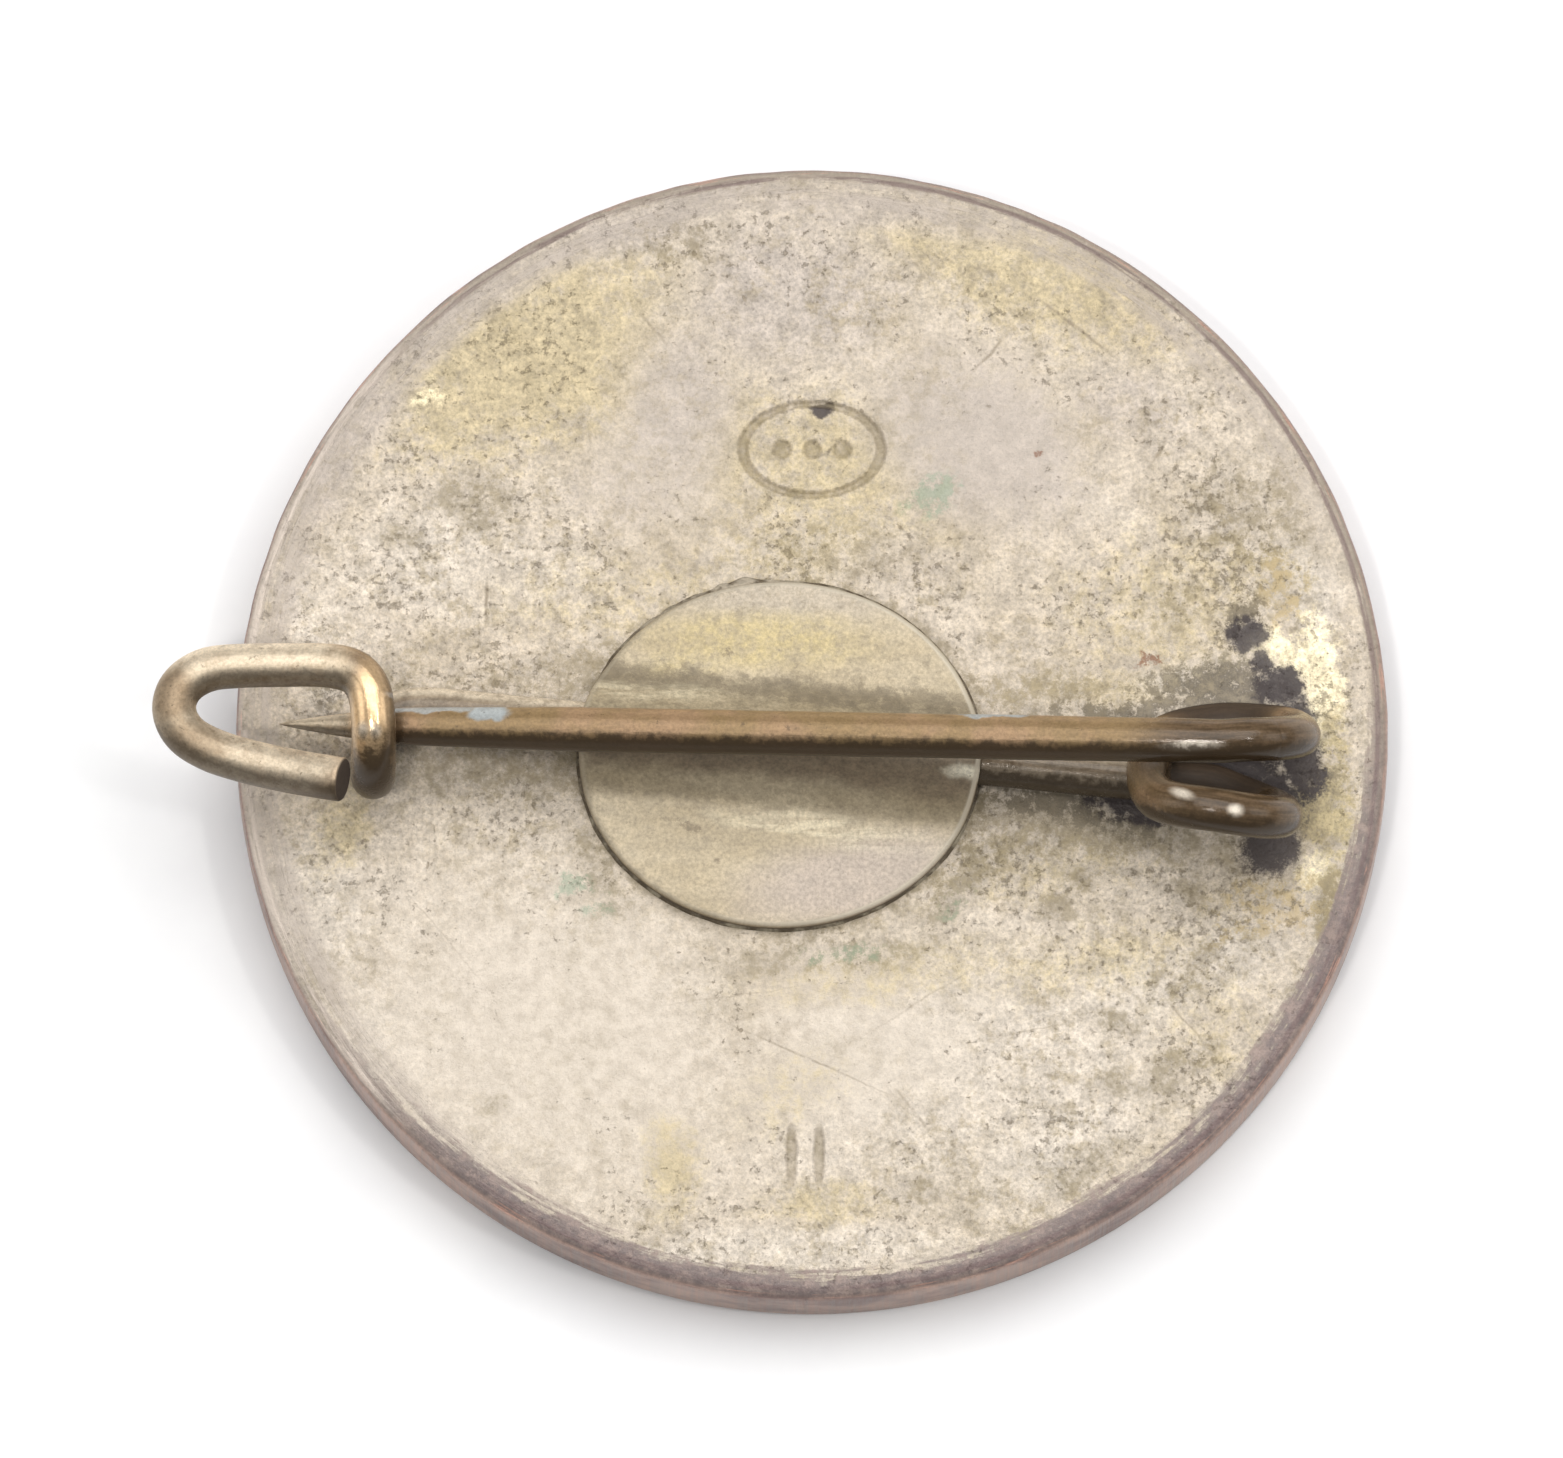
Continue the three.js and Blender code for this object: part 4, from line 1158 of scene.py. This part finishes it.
def coil_point(angle):
    """A point of the wire's centre line in the coil, at an angle in the X-Z plane in degrees."""
    second = float(smooth(-angle, 90, 180))
    centre = COIL_TURNS[0][0] + (COIL_TURNS[1][0] - COIL_TURNS[0][0]) * second
    radius = COIL_TURNS[0][1] + (COIL_TURNS[1][1] - COIL_TURNS[0][1]) * second
    turn = math.radians(angle)
    y = through(COIL_DRIFT, COIL_START - angle)
    return (centre + radius * math.cos(turn), y, WIRE_Z + radius + radius * math.sin(turn))


NEEDLE_START = np.array(coil_point(COIL_START))
NEEDLE_DIRECTION = np.array((
    -math.cos(NEEDLE_SLOPE) * math.cos(NEEDLE_YAW),
    math.cos(NEEDLE_SLOPE) * math.sin(NEEDLE_YAW),
    -math.sin(NEEDLE_SLOPE),
))
# Where on the coil the fixed wire and the needle meet, and how far each runs past it, in degrees.
ROOT_ANGLE = 58
LAP = 5
LAP_SHRINK = (0.955, 0.98, 0.993, 0.999)
WIRE_SIDES = 28


def wire_radii(path):
    """The radius of old bent wire along a path, a little uneven, and less where the two wires lap."""
    radii = np.array([
        WIRE_RADIUS * (1 - 0.018 * (1 + wander(x, y, z, 1.3)) - 0.008 * (1 + wander(x, y, z, 0.4)))
        for x, y, z in path
    ])
    radii[:len(LAP_SHRINK)] *= LAP_SHRINK
    return radii


def make_wire(name, path, radii, material, cut_end):
    """A swept wire that stores how far along and round it each point lies, and its shaded side."""
    sides = WIRE_SIDES
    points, faces, along, around = swept(path, radii, sides)
    away = (np.array(points) - np.repeat(path, sides, axis=0)) / np.repeat(radii, sides)[:, None]
    under = list(away @ (0.0, -1.0, -0.15))
    for end, before in ((0, 1), (len(path) - 1, len(path) - 2)):
        inward = (path[before] - path[end]) / np.linalg.norm(path[before] - path[end])
        if end > 0 and cut_end:
            close_end(points, faces, along, around, end * sides, sides, path[end], inward)
        else:
            points.append(path[end] - inward * 0.004)
            along.append(along[end * sides])
            around.append(0.0)
            faces += fan_faces(end * sides, sides, len(points) - 1)
    piece = make_piece(name, points, faces, material)
    add_layer(piece, "along", along)
    add_layer(piece, "around", around)
    add_layer(piece, "under", under + [0.0] * (len(points) - len(under)))
    add_layer(piece, "cut", [0.0] * (len(path) * sides) + [1.0] * (len(points) - len(path) * sides))
    return piece


def build_fixed_wire(material):
    """The coil, the anchor under the disc and the catch, as one bent wire."""
    coil = [coil_point(a) for a in np.linspace(ROOT_ANGLE + LAP, COIL_END, 150)]
    anchor = [(x, anchor_y(x), WIRE_Z) for x in np.linspace(COIL_TURNS[1][0], CATCH_START_X, 40)[1:]]
    catch = curve_through([anchor[-1]] + [(x, y, BACK + h) for x, y, h in CATCH_ROUTE], 12)
    path = soften(resample(np.vstack((coil, anchor, catch[1:])), 0.075), 6)
    return make_wire("bent_wire", path, wire_radii(path), material, cut_end=True)


# The needle's radius by the distance back from its point.
NEEDLE_TAPER = (
    (0, 0.004), (0.12, 0.04), (0.45, 0.105), (1.2, 0.225), (1.8, 0.315), (2.5, 0.38), (4.4, 0.42),
    (5.6, WIRE_RADIUS),
)


def build_needle(material):
    """The needle with its root in the coil and a drawn point."""
    root = [coil_point(a) for a in np.linspace(ROOT_ANGLE - LAP, COIL_START, 16)]
    reach = NEEDLE_LENGTH + HINGE_SETBACK
    fine_from = reach - 3
    shares = np.concatenate((np.linspace(0, fine_from, 150)[1:], np.linspace(fine_from, reach, 60)[1:]))
    path = np.vstack((root, [NEEDLE_START + NEEDLE_DIRECTION * s for s in shares]))
    path[:-20] = soften(path[:-20], 2)
    to_tip = np.linalg.norm(path - path[-1], axis=1)
    taper_end = NEEDLE_TAPER[-1][0]
    taper = [through(NEEDLE_TAPER, min(d, taper_end)) / WIRE_RADIUS for d in to_tip]
    return make_wire("needle_wire", path, wire_radii(path) * taper, material, cut_end=False)


# ------------------------------------------------------------------ stage, lights and camera


def build_stage():
    """A flat pale surface at the height of the badge's face."""
    size = 0.6
    corners = [(-size, -size, 0), (size, -size, 0), (size, size, 0), (-size, size, 0)]
    mesh = bpy.data.meshes.new("table_top")
    mesh.from_pydata(corners, [], [(0, 1, 2, 3)])
    mesh.materials.append(pale_paper())
    floor = bpy.data.objects.new("table_top", mesh)
    bpy.context.scene.collection.objects.link(floor)


def add_softbox(name, place, size, watts, colour=(1, 1, 1)):
    """A rectangular lamp, in metres and watts, turned towards the badge."""
    light = bpy.data.lights.new(name, "AREA")
    light.shape = "RECTANGLE"
    light.size, light.size_y = size
    light.energy = watts
    light.color = colour
    box = bpy.data.objects.new(name, light)
    box.location = place
    aim = Vector((0, 0, 0.002)) - Vector(place)
    box.rotation_euler = aim.to_track_quat("-Z", "Y").to_euler()
    bpy.context.scene.collection.objects.link(box)


def build_lights():
    add_softbox("key_softbox", (0.03, 0.14, 0.40), (0.46, 0.34), 1.66)
    add_softbox("left_fill", (-0.42, 0.05, 0.26), (0.26, 0.26), 0.3)
    add_softbox("right_fill", (0.42, 0.05, 0.26), (0.26, 0.26), 0.36)
    add_softbox("top_lamp", (-0.06, -0.09, 0.37), (0.028, 0.028), 0.28, (1.0, 0.98, 0.95))
    add_softbox("front_lamp", (0.16, -0.04, 0.36), (0.028, 0.028), 0.13, (1.0, 0.98, 0.95))
    world = bpy.data.worlds.new("studio")
    world.use_nodes = True
    background = world.node_tree.nodes["Background"]
    background.inputs["Color"].default_value = (0.95, 0.97, 1.0, 1)
    background.inputs["Strength"].default_value = 0.2
    bpy.context.scene.world = world


def build_camera():
    """The photo's view: nearly straight down, from a little towards the badge's lower edge."""
    distance = 300 * MM
    tilt = math.radians(11)
    view_width = 31.1355 * MM
    target = Vector((-0.61 * MM, 0, BACK * MM))
    camera = bpy.data.cameras.new("camera")
    camera.sensor_width = 36
    camera.lens = camera.sensor_width * distance / view_width
    camera.clip_start, camera.clip_end = 0.01, 10
    holder = bpy.data.objects.new("camera", camera)
    back = Vector((0, -math.sin(tilt), math.cos(tilt)))
    holder.location = target + back * distance
    holder.rotation_euler = (tilt, 0, 0)
    bpy.context.scene.collection.objects.link(holder)
    bpy.context.scene.camera = holder


# ------------------------------------------------------------------ assembly

build_stage()
build_lights()
build_camera()
bpy.context.scene.view_settings.view_transform = "Standard"

wire_material = bronze_wire()
ivory = fired_enamel("ivory_enamel", *IVORY_TINTS, rippled=False)
blue = fired_enamel("blue_enamel", *BLUE_TINTS, rippled=True)

body = build_body(silver_back())
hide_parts("badge_body")

border = build_enamel("border_enamel", *BORDER_RADII, ivory)
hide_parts("enamel_border")

field = build_enamel("field_enamel", *FIELD_RADII, blue)
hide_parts("enamel_field")

centre = build_enamel("centre_enamel", 0.0, CENTRE_RADIUS, ivory)
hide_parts("enamel_centre")

disc = build_disc(silver_disc())
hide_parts("retaining_disc")

solder = build_solder(solder_grey())
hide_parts("solder_seam_upper", "solder_seam_lower")

wire = build_fixed_wire(wire_material)
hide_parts("pin_anchor", "pin_coil", "pin_catch")

for piece in (body, border, field, centre, disc, solder, wire):
    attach(piece, "badge")

needle = build_needle(wire_material)
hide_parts("pin_needle")
bend_start = Vector(coil_point(ROOT_ANGLE)) * MM
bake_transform(needle)
